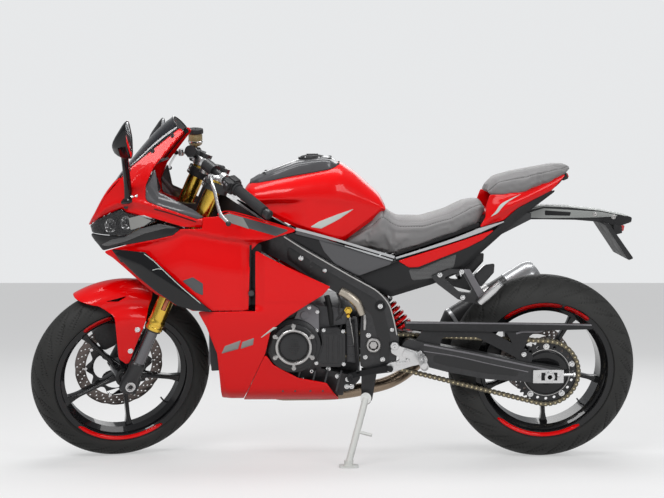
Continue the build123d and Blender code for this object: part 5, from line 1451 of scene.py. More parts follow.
def cushion(top, base, plan, start, end, count, crown=5.0, fall=0.34, seam=0.72):
    """Padded body from its top, base and plan, with a crowned face and a sewn edge seam."""
    sections = []
    for k in range(count):
        x = start + (end - start) * (0.5 - 0.5 * cos(pi * k / (count - 1)))
        low, half = eased(base, x, 9), eased(plan, x, 20)
        high = max(eased(top, x, 9), low + 1)
        shoulder = low + (high - low) * (1 - fall)
        right = []
        for t in (q / 10 for q in range(10)):
            right.append((half - 3 + 3.5 * sin(pi * t), low + (shoulder - low) * t))
        for a in (pi / 2 * q / 24 for q in range(25)):
            y, z = half * max(cos(a), 0) ** 0.62, shoulder + (high - shoulder) * sin(a) ** 0.8
            groove = 1.9 * exp(-((y / half - seam) / 0.022) ** 2) if y < half * 0.9 else 0
            rise = crown * (cos(min(1, y / half / seam) * pi / 2) - 0.6)
            right.append((y, z + (rise * min(1, (high - low) / 50) - groove)))
        sections.append(mirrored(x, right))
    return sections


def blown(body):
    """The cushion after its cloth is blown up, no point moving further than MOST_SWELL."""
    start = [v.co.copy() for v in body.vertices]
    holder = linked("pad", body)
    cloth = holder.modifiers.new("cloth", "CLOTH")
    cloth.settings.use_pressure = True
    cloth.settings.uniform_pressure_force = PRESSURE
    cloth.settings.effector_weights.gravity = 0
    cloth.settings.tension_stiffness = 30
    cloth.settings.bending_stiffness = 4
    cloth.collision_settings.use_self_collision = False
    cloth.point_cache.frame_start, cloth.point_cache.frame_end = 1, CLOTH_STEPS
    for step in range(1, CLOTH_STEPS + 1):
        bpy.context.scene.frame_set(step)
    swollen = baked(holder)
    bpy.context.scene.frame_set(1)
    for vertex, old in zip(swollen.vertices, start):
        way = vertex.co - old
        if way.length > MOST_SWELL * METRES:
            vertex.co = old + way.normalized() * MOST_SWELL * METRES
    return swollen


def inflated(mesh):
    """An evenly meshed cushion, swollen in metres and handed back in millimetres."""
    body = mesh.copy()
    body.transform(Matrix.Scale(METRES, 4))
    remesh = {"mode": "VOXEL", "voxel_size": VOXEL * METRES, "use_smooth_shade": True}
    body = modified(body, ("REMESH", remesh))
    body = blown(body)
    body = modified(body, ("SUBSURF", {"levels": 1, "render_levels": 1}))
    body.transform(Matrix.Scale(1000, 4))
    body.shade_smooth()
    return body


def laid_on(mesh, points):
    """The points moved to the nearest place on the mesh."""
    tree = BVHTree.FromPolygons([v.co for v in mesh.vertices], [p.vertices for p in mesh.polygons])
    return [tree.find_nearest(Vector(p))[0] for p in points]


def sewn(mesh, lines):
    """Channels pressed into the cushion along its seams."""
    runs = [(a, b) for line in lines for a, b in zip(line, line[1:])]
    spots = [p for a, b in runs for p in (a, a.lerp(b, 0.33), a.lerp(b, 0.67))]
    tree = KDTree(len(spots))
    for index, spot in enumerate(spots):
        tree.insert(spot, index)
    tree.balance()
    normals = [v.normal.copy() for v in mesh.vertices]
    for vertex, normal in zip(mesh.vertices, normals):
        away = tree.find(vertex.co)[2]
        if away < 4 * CHANNEL_WIDTH:
            vertex.co -= normal * CHANNEL_DEPTH * exp(-(away / CHANNEL_WIDTH) ** 2)
    return mesh


def seat(name, sections, cad, column, *across):
    """One seat: swollen cushion and sewn channels along it and across it; returns the channels."""
    pad = inflated(loft(sections, angle=80))
    n = len(sections[0])
    lines = [laid_on(pad, [section[c] for section in sections[4:-4]]) for c in (column, n - 1 - column)]
    lines += [laid_on(pad, sections[k][column:n - column]) for k in across]
    on_chassis(name, sewn(pad, lines), "seat_vinyl", "hide", cad, padded=0.8)
    return lines


rider = cushion(RIDER_TOP, RIDER_BASE, RIDER_PLAN, 40, 496, 84)
pillion = cushion(PILLION_TOP, PILLION_BASE, PILLION_PLAN, 507, 781, 60, 4.0, 0.5, 0.78)
lines = seat("rider_cushion", rider, "rider_seat", 19, 30)
lines += seat("pillion_cushion", pillion, "pillion_seat", 20)
stitches = []
for here, ahead in (pair for line in lines for pair in zip(line, line[1:])):
    run = ahead - here
    count = max(1, int(run.length / STITCH))
    for q in range(count):
        ends = [here + run * (q + share) / count for share in (0.25, 0.75)]
        stitches.append(tube(ends, 0.55, 5, 1, smooth=False))
on_chassis("seat_stitches", joined("stitches", *stitches), "rubber", "black")


# ---------------------------------------------------------------- tail
TAIL_PLAN = [(180, 128), (400, 126), (560, 112), (790, 56)]
UPPER_TAIL = [
    (512, 901, 4), (556, 901, 10), (620, 912, 40), (705, 941, 60), (768, 966, 4), (718, 911, 20),
    (604, 857, 30), (559, 819, 10), (478, 796, 4), (496, 830, 14), (500, 871, 14),
]
TAIL_STRIP = [
    (216, 690, 3), (530, 790, 3), (488, 756, 10), (443, 733, 10), (357, 699, 30), (282, 669, 10),
    (252, 668, 10),
]
UNDERTAIL = [
    (84, 640, 6), (216, 688, 3), (252, 667, 10), (282, 668, 10), (357, 698, 30), (443, 732, 10),
    (488, 755, 10), (530, 789, 3), (559, 818, 10), (604, 856, 30), (718, 910, 20), (730, 906, 3),
    (614, 824, 30), (557, 776, 20), (478, 706, 20), (416, 648, 30), (330, 612, 40), (193, 570, 6),
    (158, 590, 20),
]
UPPER_EDGE = [(500, 892), (556, 898), (620, 912), (705, 941), (768, 966)]
TAIL_CREASE = [(478, 806), (545, 852), (620, 888), (768, 958)]
UNDER_EDGE = [
    (158, 580), (193, 570), (330, 612), (416, 648), (478, 706), (557, 776), (614, 824), (730, 906),
]
SEAT_BASE = [(206, 712, 4), (300, 745, 20), (403, 783, 20), (478, 814, 6), (478, 797, 4), (206, 706, 3)]
COVER_OUTER = 136
SIDE_COVER = [
    (-176, 768, 20), (-106, 786, 4), (200, 692, 4), (216, 690, 0), (84, 640, 6), (60, 652, 10),
    (-147, 778, 40),
]
SIDE_FACE = [
    (-40, 764, 4), (196, 690, 4), (190, 680, 10), (92, 645, 6), (64, 655, 10), (12, 684, 30),
    (-22, 724, 40),
]


def tail_half(x):
    return eased(TAIL_PLAN, x, 40)


def tail_surface(x, z):
    """Tail side: upper edge tucked under the seat and a crease from the front corner."""
    tuck = 11 * step_up(z - between(UPPER_EDGE, x) + 34, 0, 40) * step_up(x, 500, 540)
    crease = between(TAIL_CREASE, x)
    ridge = 4.5 * exp(-(abs(z - crease) / 16) ** 1.3)
    below = 7 * step_up(crease - z, 4, 34)
    return tail_half(x) + ridge - tuck - below * step_up(x, 478, 520)


def strip_surface(x, z):
    return tail_half(x) + 1.5 - 0.12 * max(0, between([(216, 690), (530, 790)], x) - z)


def under_surface(x, z):
    low = between(UNDER_EDGE, x)
    return tail_half(x) - 3 - 10 * (1 - step_up(z, low, low + 26))


def side_bow(x):
    """Share of the side covers' bow at x."""
    return sin(pi * min(1, max(0, (x + 176) / 392)))


def cover_side(x, z):
    low = between([(-176, 764), (60, 650), (216, 676)], x)
    return COVER_OUTER + 3.5 * side_bow(x) - 3 * (1 - step_up(z, low, low + 14))


def strip_side(x, z):
    return COVER_OUTER + 3.0 + 2.0 * side_bow(x)


skins = both(panel(UPPER_TAIL, tail_surface, 5.0, 6.0, 1.4))
on_chassis("tail_skins", skins, "red_paint", "red", "tail_cowl")
strips = both(panel(TAIL_STRIP, strip_surface, 5.0, 6.0))
on_chassis("tail_strip_skins", strips, "red_paint", "red", "tail_strips")
swoosh = [(514, 832), (532, 846), (548, 866), (572, 882), (612, 901)]
swoosh = ribbon(swoosh, [1.0, 9.0, 11.0, 5.0, 0.8], tail_surface, 0.5, 0.5)
on_chassis("tail_swooshes", both(swoosh), "silver_paint", "white")

TRAY_LINE = [(150, 592), (196, 574), (330, 616), (416, 652), (478, 710), (557, 780), (614, 828), (728, 906)]
tray = []
for spot in side_line(TRAY_LINE, 5):
    half = under_surface(spot.x, spot.y) - 2
    angles = [pi * (k / 20 - 0.5) * 0.999 for k in range(21)]
    tray.append([(spot.x, half * sin(a), spot.y - 5 * cos(a) ** 0.5 + 4) for a in angles])
undertail = joined("under", both(panel(UNDERTAIL, under_surface, 5.0, 7.0)), crisp(skin(tray, 4.0), 50))
on_chassis("undertail_skins", undertail, "black_satin", "black", "undertail")
floor = []
for spot in side_line([(480, 800), (560, 826), (604, 862), (718, 916), (766, 962)], 5):
    half = tail_surface(spot.x, spot.y) - 4
    floor.append([(spot.x, half * k / 10, spot.y) for k in range(-10, 11)])
on_chassis("tail_floor", skin(floor, 4.0), "black_satin", "dark")
inlay = [
    (250, 662, 6), (284, 662, 10), (357, 693, 30), (404, 711, 4), (396, 668, 16), (336, 634, 16),
    (262, 626, 10),
]
on_chassis("weave_inlays", both(patch(inlay, under_surface, 0.6, 1.2)), "black_satin", "carbon")
seam = ribbon([(318, 626), (356, 655), (380, 660), (440, 660)], 2.0, under_surface, 0.4, 0.8)
on_chassis("undertail_seams", both(seam), "black_satin", "dark")
on_chassis("tail_lamp", block((8, 92, 15), 3, at(771, 0, 958) @ tilt(-24)), "lamp_red", "lamp_red")
on_chassis("tail_lamp_case", block((20, 104, 22), 4, at(762, 0, 954) @ tilt(-24)), "black_satin", "black")

# Seat base, side covers and the bright strips.
base = panel(SEAT_BASE, lambda x, z: tail_half(x) - 4, 4, 7, 1)
on_chassis("seat_base", both(base), "black_satin", "dark")
covers = both(panel(SIDE_COVER, cover_side, 6.0, 7.0, 1.4))
on_chassis("side_cover_skins", covers, "black_satin", "black", "side_covers")
on_chassis("side_cover_faces", both(patch(SIDE_FACE, cover_side, 0.8, 1.4)), "grey_paint", "grey")
upper = [(-112, 797), (-38, 777), (42, 754), (122, 729), (204, 704)]
rear = [(208, 700), (300, 728), (400, 760), (478, 788), (556, 815)]
strips = [
    ribbon(upper, [9, 9, 8, 8, 9], strip_side, 1.2, 3.0),
    ribbon([(44, 742), (122, 718), (198, 694)], [3.0, 6, 5], strip_side, 1.6, 3.0),
    ribbon(rear, [6, 8, 11, 15, 3], strip_surface, 3.0, 3.0),
]
on_chassis("bright_strips", both(*strips), "silver_paint", "silver", "accent_trims")
shade = ribbon([(-112, 786), (-38, 766), (42, 742)], [11, 9, 3], strip_side, 0.6, 2.4)
on_chassis("shaded_strips", both(shade), "grey_paint", "grey")

# Plate bracket: ribbed arm, blank holder, lamp and reflector.
arm = ((648, 33, 846), (700, 33, 857), (779, 33, 855), (885, 33, 843), (975, 30, 824))
top_plate = loft([
    [(x, -w, high - 3), (x, 3 - w, high), (x, w - 3, high), (x, w, high - 3)] for x, w, high in arm
])
cheek = [
    (650, 834, 4), (700, 849, 4), (885, 837, 4), (962, 822, 6), (880, 818, 4), (700, 816, 4), (652, 818, 4),
]
on_chassis("bracket_cheeks", both(patch(cheek, lambda x, z: 32.6, 0.6, 1.6)), "silver_paint", "bracket")
# A flat dark patch on each cheek: painted shade for the bracket's recess.
slot = patch([(704, 842, 3), (790, 836, 3), (786, 824, 3), (704, 826, 3)], lambda x, z: 33.4, 0.4, 1.2)
on_chassis("bracket_recess_shades", both(slot), "black_satin", "dark")
on_chassis("bracket_plate", top_plate, "silver_paint", "bracket")
heads = []
for spot in ((868, 828), (930, 820)):
    heads += screws(6, 4, -33, [spot]) + screws(6, 4, 33, [spot], (0, 1, 0))
on_chassis("bracket_screws", joined("screws", *heads), "alloy_bright", "steel")
reflector = block((16, 60, 20), 4, at(960, 0, 782) @ tilt(10))
on_chassis("bracket_reflector", reflector, "lamp_red", "lamp_red")
on_chassis("plate_lamp", block((18, 34, 14), 3, at(974, 0, 806)), "lamp_glass", "silver")
ribs = [block((4, 186, 8), 1.5, at(x, 0, z) @ tilt(38)) for x, z in ((902, 797), (974, 693))]
on_chassis("holder_ribs", joined("ribs", *ribs), "black_satin", "black")


# ---------------------------------------------------------------- fork and bars
BAR_START, GRIP_END = Vector((-430, -120, 1016)), Vector((-328, -372, 928))
GRIP_START = BAR_START.lerp(GRIP_END, 0.49)
ON_BAR = along(BAR_START, GRIP_END)
BAR_LENGTH = (GRIP_END - BAR_START).length


def both_legs(mesh):
    """A piece turned about Y, stood up on both fork legs."""
    return joined("legs", *[moved(mesh, at(0, side * FORK_SPREAD, 0) @ UPRIGHT) for side in (-1, 1)])


def on_bar(mesh, share):
    """Piece turned about Y, set along the left bar at a share of its length."""
    return moved(mesh, ON_BAR @ at(0, share * BAR_LENGTH, 0))


outer_tube = lathe([
    (20.5, 203), (28, 203), (30, 206), (30, 214), (28.6, 216), (28.6, 224), (30, 226), (30, 234), (28, 238),
    (27, 244), (27, 470), (25.6, 490), (25.6, 536), (26.6, 548), (26.6, 680), (25.6, 694), (25.6, 736),
    (24, 742), (0, 742),
], 56, angle=30)
on_legs("fork_outers", both_legs(outer_tube), "gold_anodised", "gold", "fork_tubes")
cap = nut([(0, 752), (7, 752), (8, 750), (8, 747), (17, 747), (18, 746), (18, 742), (23, 742), (23, 738)])
wiper = lathe([(20.8, 198), (26, 198), (27.5, 200), (27.5, 204), (20.8, 205)], 48)
on_legs("fork_caps", both_legs(cap), "gold_anodised", "alloy")
on_legs("fork_wipers", both_legs(wiper), "rubber", "rubber")
slider = lathe([(20.4, 60), (20.4, 240), (19, 241), (0, 241)], 48)
on_legs("slider_tubes", both_legs(slider), "alloy_bright", "tube_dark", "fork_sliders")
FOOT = (  # half length, half width and height of the fork foot's sections
    (18, 14, -30), (27, 21, -22), (29, 22, 0), (27, 24, 22), (25, 26, 40), (25.5, 26, 70), (24, 24, 78),
    (21, 21, 82),
)
feet = []
for side in (-1, 1):
    y = side * FORK_SPREAD
    foot = [[(a * cos(t), y + b * sin(t), z) for t in turns(32)] for a, b, z in FOOT]
    feet += [loft(foot, angle=40), block((20, 3, 60), 0.5, at(24, y, 0))]
    feet += [moved(screw(6, 6), facing(26, y, z, (1, 0, 0))) for z in (-12, 12)]
ear = shape([(6, 36, 4), (-50, 70, 9), (-76, 118, 9), (-56, 132, 9), (6, 98, 4)], 4)
on_legs("fork_feet", joined("feet", *feet, plate([ear], 94, 102, 1.2)), "black_satin", "caliper")
reflectors = [block((11, 7, 36), 2.5, at(-5, side * 134, 300)) for side in (-1, 1)]
brackets = [block((15, 10, 40), 2, at(-4, side * 130, 300)) for side in (-1, 1)]
on_legs("side_reflectors", joined("amber", *reflectors), "lamp_amber", "amber")
on_legs("reflector_brackets", joined("brackets", *brackets), "black_satin", "black")
bolts = screws(7, 6, 102.5, ((-56, 82), (-62, 116)), (0, 1, 0))
on_legs("caliper_bolts", joined("bolts", *bolts), "alloy_bright", "chrome")
bolts = []
for side in (-1, 1):
    bolts += screws(6.5, 4.5, side * 107.6, ((33, 190), (8, 118)), (0, side, 0))
on_axle("fender_bolts", joined("bolts", *bolts), "alloy_bright", "chrome")
axle_ring = lathe([(8.4, -130), (8.4, -131), (13, -131), (14.5, -129.5), (14.5, -123)], 36)
on_axle("axle_rings", both(axle_ring), "alloy_bright", "chrome")

caps = []
for x, z, r in ((-100, 74, 17), (-84, 118, 15), (-124, 104, 8)):
    stack = lathe([(0, -99), (r - 5, -99), (r - 4, -98), (r - 2, -98), (r, -96.5), (r, -90)], 36)
    caps.append(moved(moved(stack, FLIP), at(x, 0, z)))
caps.append(block((10, 8, 60), 3, at(-70, 92, 104) @ tilt(-24)))
on_legs("caliper_caps", joined("caps", *caps), "black_satin", "caliper")
pins = screws(5, 3, 95, ((-66, 62), (-128, 84), (-112, 128), (-70, 140)), (0, 1, 0))
on_legs("caliper_pins", joined("pins", *pins), "alloy_bright", "chrome")

grip = [(11, -2), (20, -2), (21, 0), (21, 3), (19, 5), (16, 5), (16.0, 0)]
for y in (6 + k * 5.4 for k in range(24)):
    grip += [(16.6, y), (16.6, y + 3.4), (15.6, y + 4.0), (15.6, y + 4.8)]
grip = lathe(grip + [(16.8, 136), (14.5, 138), (11, 138)], 28, angle=50)
on_bars("grip_sleeves", both(on_bar(grip, 0.49)), "rubber", "rubber", "grips")
weight = lathe([(0, 0), (15, 0), (15.5, 2), (15.5, 14), (14, 16), (10, 17), (9, 15), (0, 15)], 36)
on_bars("bar_weights", both(on_bar(weight, 1.0)), "black_satin", "frame")

pod = joined(
    "pod",
    block((42, 44, 44), 9),
    block((20, 30, 22), 5, at(20, 2, 10)),
    block((6, 10, 12), 2, at(24, -8, 6)),
    block((8, 12, 8), 2, at(26, 8, -4)),
    block((24, 34, 8), 2.5, at(-4, 0, 22)),
)
on_bars("switch_pods", both(on_bar(pod, 0.40)), "black_satin", "black", "controls")
buttons = joined("buttons", *[block((4, 7, 6), 1.4, at(31, y, z)) for y, z in ((-4, 14), (8, 12))])
on_bars("switch_buttons", both(on_bar(buttons, 0.40)), "silver_paint", "cover_grey")
perch = BAR_START.lerp(GRIP_START, 0.5)
root = perch + Vector((-44, -6, 6))
lever_set = [
    on_bar(lathe([(11, -9), (16, -9), (17, -8), (17, 8), (16, 9), (11, 9)], 36), 0.245),
    on_bar(block((14, 18, 34), 3, at(0, 0, -4)), 0.245),
    tube([perch + Vector((-8, 2, 2)), perch + Vector((-26, -2, 5)), root], [10, 8, 9], 14, 5, flat=0.7),
    moved(
        lathe([(0, -11), (8, -11), (9, -10), (9, 10), (8, 11), (0, 11)], 28),
        Matrix.Translation(root) @ UPRIGHT,
    ),
]
on_bars("lever_perches", both(*lever_set), "alloy_bright", "alloy")
blade = [root, root + Vector((-6, -30, -9)), root + Vector((-6, -66, -26))]
blade += [(-458, -322, 926), (-446, -368, 905)]
lever = tube(blade, [8, 6.5, 6, 5.5, 5], 14, 7, flat=0.62)
on_bars("brake_levers", both(lever), "alloy_bright", "alloy")
ball = lathe([(0, -8), (4, -7.2), (7.2, -4), (8.2, 0), (7.2, 4), (4, 7.2), (0, 8)], 24)
adjuster = lathe([(0, -9), (7, -9), (8, -7), (8, 7), (7, 9), (0, 9)], 14, angle=20)
adjuster = moved(adjuster, Matrix.Translation(root + Vector((-14, -18, -2))))
on_bars("lever_ends", both(moved(ball, at(-446, -372, 904)), adjuster), "black_satin", "frame")
cup_at = BAR_START.lerp(GRIP_START, 0.8)
CUP = at(cup_at.x, -cup_at.y, cup_at.z + 18) @ UPRIGHT
cup = lathe([
    (0, 0), (7, 0), (7, 13), (16, 15), (22, 20), (24, 26), (24, 52), (23, 56), (24, 60), (0, 60),
], 48)
on_bars("fluid_cup", moved(cup, CUP), "lamp_glass", "fluid")
lid = lathe([(24, 58), (27, 59), (28, 61), (28, 70), (26.5, 74), (8, 75), (0, 74)], 12, angle=25)
on_bars("fluid_cup_lid", moved(lid, CUP), "black_satin", "black")
band = lathe([(24.6, 28), (25.6, 29), (25.6, 33), (24.6, 34)], 40)
on_bars("fluid_cup_band", moved(band, CUP), "alloy_bright", "chrome")
post = lathe([(25.6, 735), (29, 736), (30, 738), (30, 764), (29, 766), (26, 767)], 40)
risers = []
for side in (-1, 1):
    risers.append(moved(post, at(0, side * FORK_SPREAD, 0) @ UPRIGHT))
    risers += [moved(screw(4.5, 4), facing(30, side * FORK_SPREAD, z, (1, 0, 0))) for z in (744, 758)]
on_legs("bar_clamps", joined("clamps", *risers), "black_satin", "alloy")
stem = nut([(0, 752), (9, 752), (10, 750), (18, 750), (19, 748), (19, 738), (22, 737), (22, 730)])
yoke_bolts = [
    moved(screw(5, 5), facing(-36, side * (FORK_SPREAD - 12), z, (-1, 0, 0)))
    for side in (-1, 1) for z in (708, 722, 506, 520)
]
stem = joined("nut", moved(stem, at(FORK_OFFSET, 0, 0) @ UPRIGHT), *yoke_bolts)
on_legs("stem_nut", stem, "alloy_bright", "steel")
lock = lathe([(0, 756), (8, 756), (9, 754), (17, 753), (18, 750), (18, 728)], 36)
keyway = block((3, 10, 1), 0.3, at(FORK_OFFSET - 48, 0, 756.2))
lock = joined("lock", moved(lock, at(FORK_OFFSET - 48, 0, 0) @ UPRIGHT), keyway)
on_legs("ignition_lock", lock, "black_satin", "steel")


# ---------------------------------------------------------------- engine
COVER_X, COVER_Z, CASE = -120, 422, 148
COVER_AT = at(COVER_X, 0, COVER_Z)
LUG_TURNS = [radians(30 + 60 * k) for k in range(6)]
CLUTCH_TURNS = [radians(40 * k + 12) for k in range(9)]
rings = lathe([
    (0, -186), (40, -186.5), (44, -185), (45, -183), (47, -183), (48, -184), (50, -191), (57, -192),
    (59, -190), (60, -184), (70, -184), (73, -182), (74, -176), (80, -174), (86, -171), (88, -166),
    (88, -149),
], 96, angle=28)
lug = lathe([(0, -187), (6, -187), (8, -185.5), (8.5, -174)], 20)
cover = joined("cover", rings, *[moved(lug, round_y(66, a)) for a in LUG_TURNS])
on_chassis("generator_cover", moved(cover, COVER_AT), "cover_dark", "cover", "engine_covers")
bright = [lathe([
    (46.5, -184), (48, -189), (50, -193), (52, -194.5), (56, -194.5), (58, -193), (59, -188),
], 96, angle=28)]
for a in LUG_TURNS:
    bright.append(block((22, 9, 10), 3, round_y(64, a, -186) @ Matrix.Rotation(-a, 4, "Y")))
    bright.append(moved(screw(5.2, 4), facing(69 * cos(a), -190, 69 * sin(a))))
on_chassis("cover_ring", moved(joined("ring", *bright), COVER_AT), "alloy_bright", "steel")
grooves = [block((40 - abs(k) * 5, 1.4, 2.2), 0.5, at(0, -186.6, k * 6.0)) for k in range(-4, 5)]
on_chassis("cover_grooves", moved(joined("grooves", *grooves), COVER_AT), "cover_dark", "frame")

timing = [(-132, 480, 4), (-98, 556, 16), (-62, 554, 14), (-40, 540, 8), (-38, 468, 8), (-60, 448, 6)]
timing = plate([shape(timing, 4)], -CASE - 17, -CASE + 2, 3.5)
boss = lathe([(0, -CASE - 20), (11, -CASE - 20), (13, -CASE - 18.5), (13, -CASE - 14)], 32)
timing = joined("timing", timing, moved(boss, at(-86, 0, 521)))
on_chassis("timing_cover", timing, "cover_dark", "cover_grey")
DRIVE = [
    (-54, 360, 12), (-34, 352, 8), (30, 352, 14), (46, 372, 12), (46, 464, 14), (20, 482, 14),
    (-36, 478, 12), (-30, 430, 20),
]
raised = [(x * 0.8 - 1, 415 + (z - 415) * 0.8, r) for x, z, r in DRIVE]
drive = [
    plate([shape(DRIVE, 4)], -CASE - 26, -CASE + 2, 4.0),
    plate([shape(raised, 4)], -CASE - 28, -CASE - 24, 1.2),
]
drive += [block((4, 5, 80), 1.5, at(x, -CASE - 28, 414)) for x in (-12, 6, 24)]
on_chassis("drive_cover", joined("drive", *drive), "cover_dark", "cover")
rear_case = shape([(48, 366, 6), (48, 500, 10), (84, 520, 10), (90, 360, 6)], 4)
rear_case = [plate([rear_case], -CASE - 10, -CASE + 2, 2.5)]
rear_case += [block((34, 6, 4), 1.5, at(68, -CASE - 10, z)) for z in (388, 420, 452, 484)]
ribs = [block((6, 8, 74), 2, at(x, -CASE + 1, 300) @ tilt(14)) for x in (-150, -110, -60, -20, 24)]
on_chassis("rear_case_ribs", joined("case", *rear_case, *ribs), "engine_dark", "cast")
clutch = lathe([
    (88, 150), (88, 166), (84, 172), (76, 174), (70, 176), (66, 184), (60, 187), (44, 187), (42, 185),
    (20, 185), (18, 188), (0, 189),
], 96, angle=28)
drum = moved(lathe([(40, 148), (40, 164), (36, 168), (14, 169), (0, 170)], 56), at(110, 0, -10))
lug = lathe([(8, 172), (8, 180), (6, 182), (0, 182)], 20)
clutch = joined("clutch", clutch, drum, *[moved(lug, round_y(78, a)) for a in CLUTCH_TURNS])
on_chassis("clutch_cover", moved(clutch, COVER_AT), "cover_dark", "cover")
spots = [(COVER_X + 78 * cos(a), COVER_Z + 78 * sin(a)) for a in CLUTCH_TURNS]
heads = screws(5, 4, 181, spots, (0, 1, 0))
heads += screws(4.6, 4, -CASE - 26, ((-48, 366), (-24, 474), (38, 470), (40, 362)))
heads += screws(4.6, 4, -CASE - 17, ((-122, 484), (-70, 546), (-48, 470), (-44, 532)))
spots = ((53, 301), (50, 277), (66, 277), (-96, 300), (-10, 336), (20, 312), (-64, 330))
heads += screws(6, 5, -CASE + 14, spots)
on_chassis("engine_screws", joined("screws", *heads), "alloy_bright", "chrome")

fins = [block((150, 214, 4), 1.2, at(-205 - 6 * k, 0, 520 + 17 * k) @ tilt(-32)) for k in range(7)]
on_chassis("cylinder_fins", joined("fins", *fins), "engine_dark", "cast")
hose = tube([(-14, -136, 580), (-8, -142, 556), (-2, -146, 524), (1, -142, 486)], 9.0, 18)
on_chassis("cooling_hose", hose, "rubber", "hose")
pipes = joined(
    "pipes",
    tube([(60, -158, 512), (92, -160, 320)], 2.8, 12),
    tube([(107, -151, 520), (108, -153, 498), (107, -151, 470)], [5, 6.5, 5], 14),
)
on_chassis("metal_pipes", pipes, "alloy_bright", "steel")
elbow = [(30, -150, 596), (56, -154, 582), (84, -154, 556), (99, -153, 520)]
on_chassis("bronze_elbow", tube(elbow, [15, 15.5, 15, 12], 20), "pipe_steel", "bronze")
sender = joined(
    "sender",
    moved(nut([(0, -164), (8, -164), (9, -162), (9, -152), (13, -151), (13, -146)]), at(55, 0, 534)),
    moved(lathe([(0, -160), (5, -160), (6, -158), (6, -146)], 20), at(55, 0, 516)),
)
on_chassis("brass_sender", sender, "gold_anodised", "gold")
LOOM = [
    [(-20, -134, 560), (-8, -140, 520), (10, -142, 500), (30, -146, 516), (46, -142, 545)],
    [(20, -140, 590), (30, -146, 560), (24, -146, 530), (34, -144, 500), (30, -140, 470)],
]
sleeves = joined("sleeves", *[tube(line, r, 10) for line, r in zip(LOOM, (5.5, 4.0))])
on_chassis("wiring_sleeves", sleeves, "rubber", "rubber")
pleats = [(34 if k % 2 else 33, -18 + 3 * k) for k in range(14)]
filter_can = lathe(
    [(0, -30), (30, -30), (33, -27), (34, -20)] + pleats + [(34, 26), (30, 30), (0, 30)], 32,
)
filter_can = moved(filter_can, at(-240, 0, 320) @ tilt(90, "Z"))
sump = block((200, 180, 26), 10, at(-60, 0, 246))
on_chassis("sump_parts", joined("sump", filter_can, sump), "engine_dark", "cast")

# Radiator core: louvres between side tanks, with a fan ring behind.
louvres = []
for z in (346 + 4.2 * k for k in range(62)):
    x = -388 - 10 * (z - 338) / 272
    louvres.append(block((12, 268, 1.6), 0.3, at(x + 1, 0, z) @ tilt(12)))
tubes = [block((4, 3, 262), 0.6, at(-395, y, 474) @ tilt(2)) for y in range(-120, 121, 24)]
on_chassis("radiator_fins", joined("fins", *louvres, *tubes), "black_satin", "cover_grey")
fan_ring = lathe([(84, 0), (90, 0), (90, 26), (84, 26)], 48, closed=True)
fan = [moved(fan_ring, at(-352, 0, 480) @ tilt(-90, "Z"))]
for k in range(7):
    spun = at(-340, 0, 480) @ tilt(360 / 7 * k, "X") @ at(0, 0, 42) @ tilt(28, "Z")
    fan.append(block((3, 22, 76), 1, spun))
on_chassis("radiator_fan", joined("fan", *fan), "black_satin", "black")


# ---------------------------------------------------------------- frame and swingarm
SPAR, ARM = 150, 143
SPAR_PLAN = [(-445, 34), (-390, 46), (-330, 74), (-200, 128), (-60, SPAR), (260, SPAR)]
SPAR_EDGE = [
    (-150, 772), (-101, 741), (-38, 704), (49, 653), (104, 622), (150, 594), (184, 555), (200, 508),
    (212, 452),
]
SPAR_WEB = [
    (-140, 744, 20), (-40, 680, 40), (60, 620, 40), (142, 572, 30), (172, 530, 30), (192, 440, 20),
    (186, 356, 8), (160, 348, 10), (150, 440, 30), (130, 520, 40), (60, 572, 40), (-60, 640, 40),
    (-140, 700, 20),
]


def spar_side(x, z):
    return SPAR if x > -60 else eased(SPAR_PLAN, x)


def arm_side(x, z):
    return ARM


# Bright steel strips along the spars' upper edges: a painted highlight where the frame's edge catches the
# light.
on_chassis("spar_edge_highlights", both(ribbon(SPAR_EDGE, 4.0, spar_side, 0.2, 2.2)), "silver_paint", "steel")
on_chassis("spar_webs", both(patch(SPAR_WEB, spar_side, 0.4, 3.0, 9.0)), "frame_black", "frame")
heads = []
for x, z, r in (
    (158, 548, 8.5), (120, 452, 6), (166, 372, 6), (110, 380, 5.5), (-96, 704, 6), (-20, 664, 5),
    (196, 470, 5),
):
    heads += screws(r, 5, -SPAR - 3, [(x, z)]) + screws(r, 5, SPAR + 3, [(x, z)], (0, 1, 0))
on_chassis("frame_screws", joined("screws", *heads), "alloy_bright", "chrome")
cups = joined(
    "cups",
    lathe([
        (15, -SPAR - 10), (17, -SPAR - 13), (21, -SPAR - 13), (24, -SPAR - 10), (25, -SPAR - 1),
    ], 48),
    nut([(0, -SPAR - 9), (12, -SPAR - 9), (14, -SPAR - 8), (14, -SPAR)]),
)
on_chassis("pivot_caps", both(moved(cups, at(136, 0, 420))), "alloy_bright", "steel")
washer = lathe([(9, -SPAR - 6), (15, -SPAR - 6), (17, -SPAR - 4), (17, -SPAR)], 32)
on_chassis("frame_washers", both(moved(washer, at(158, 0, 548))), "black_satin", "dark")

RIDGE = [(300, 418), (380, 402), (471, 384), (560, 364), (650, 344), (742, 326)]
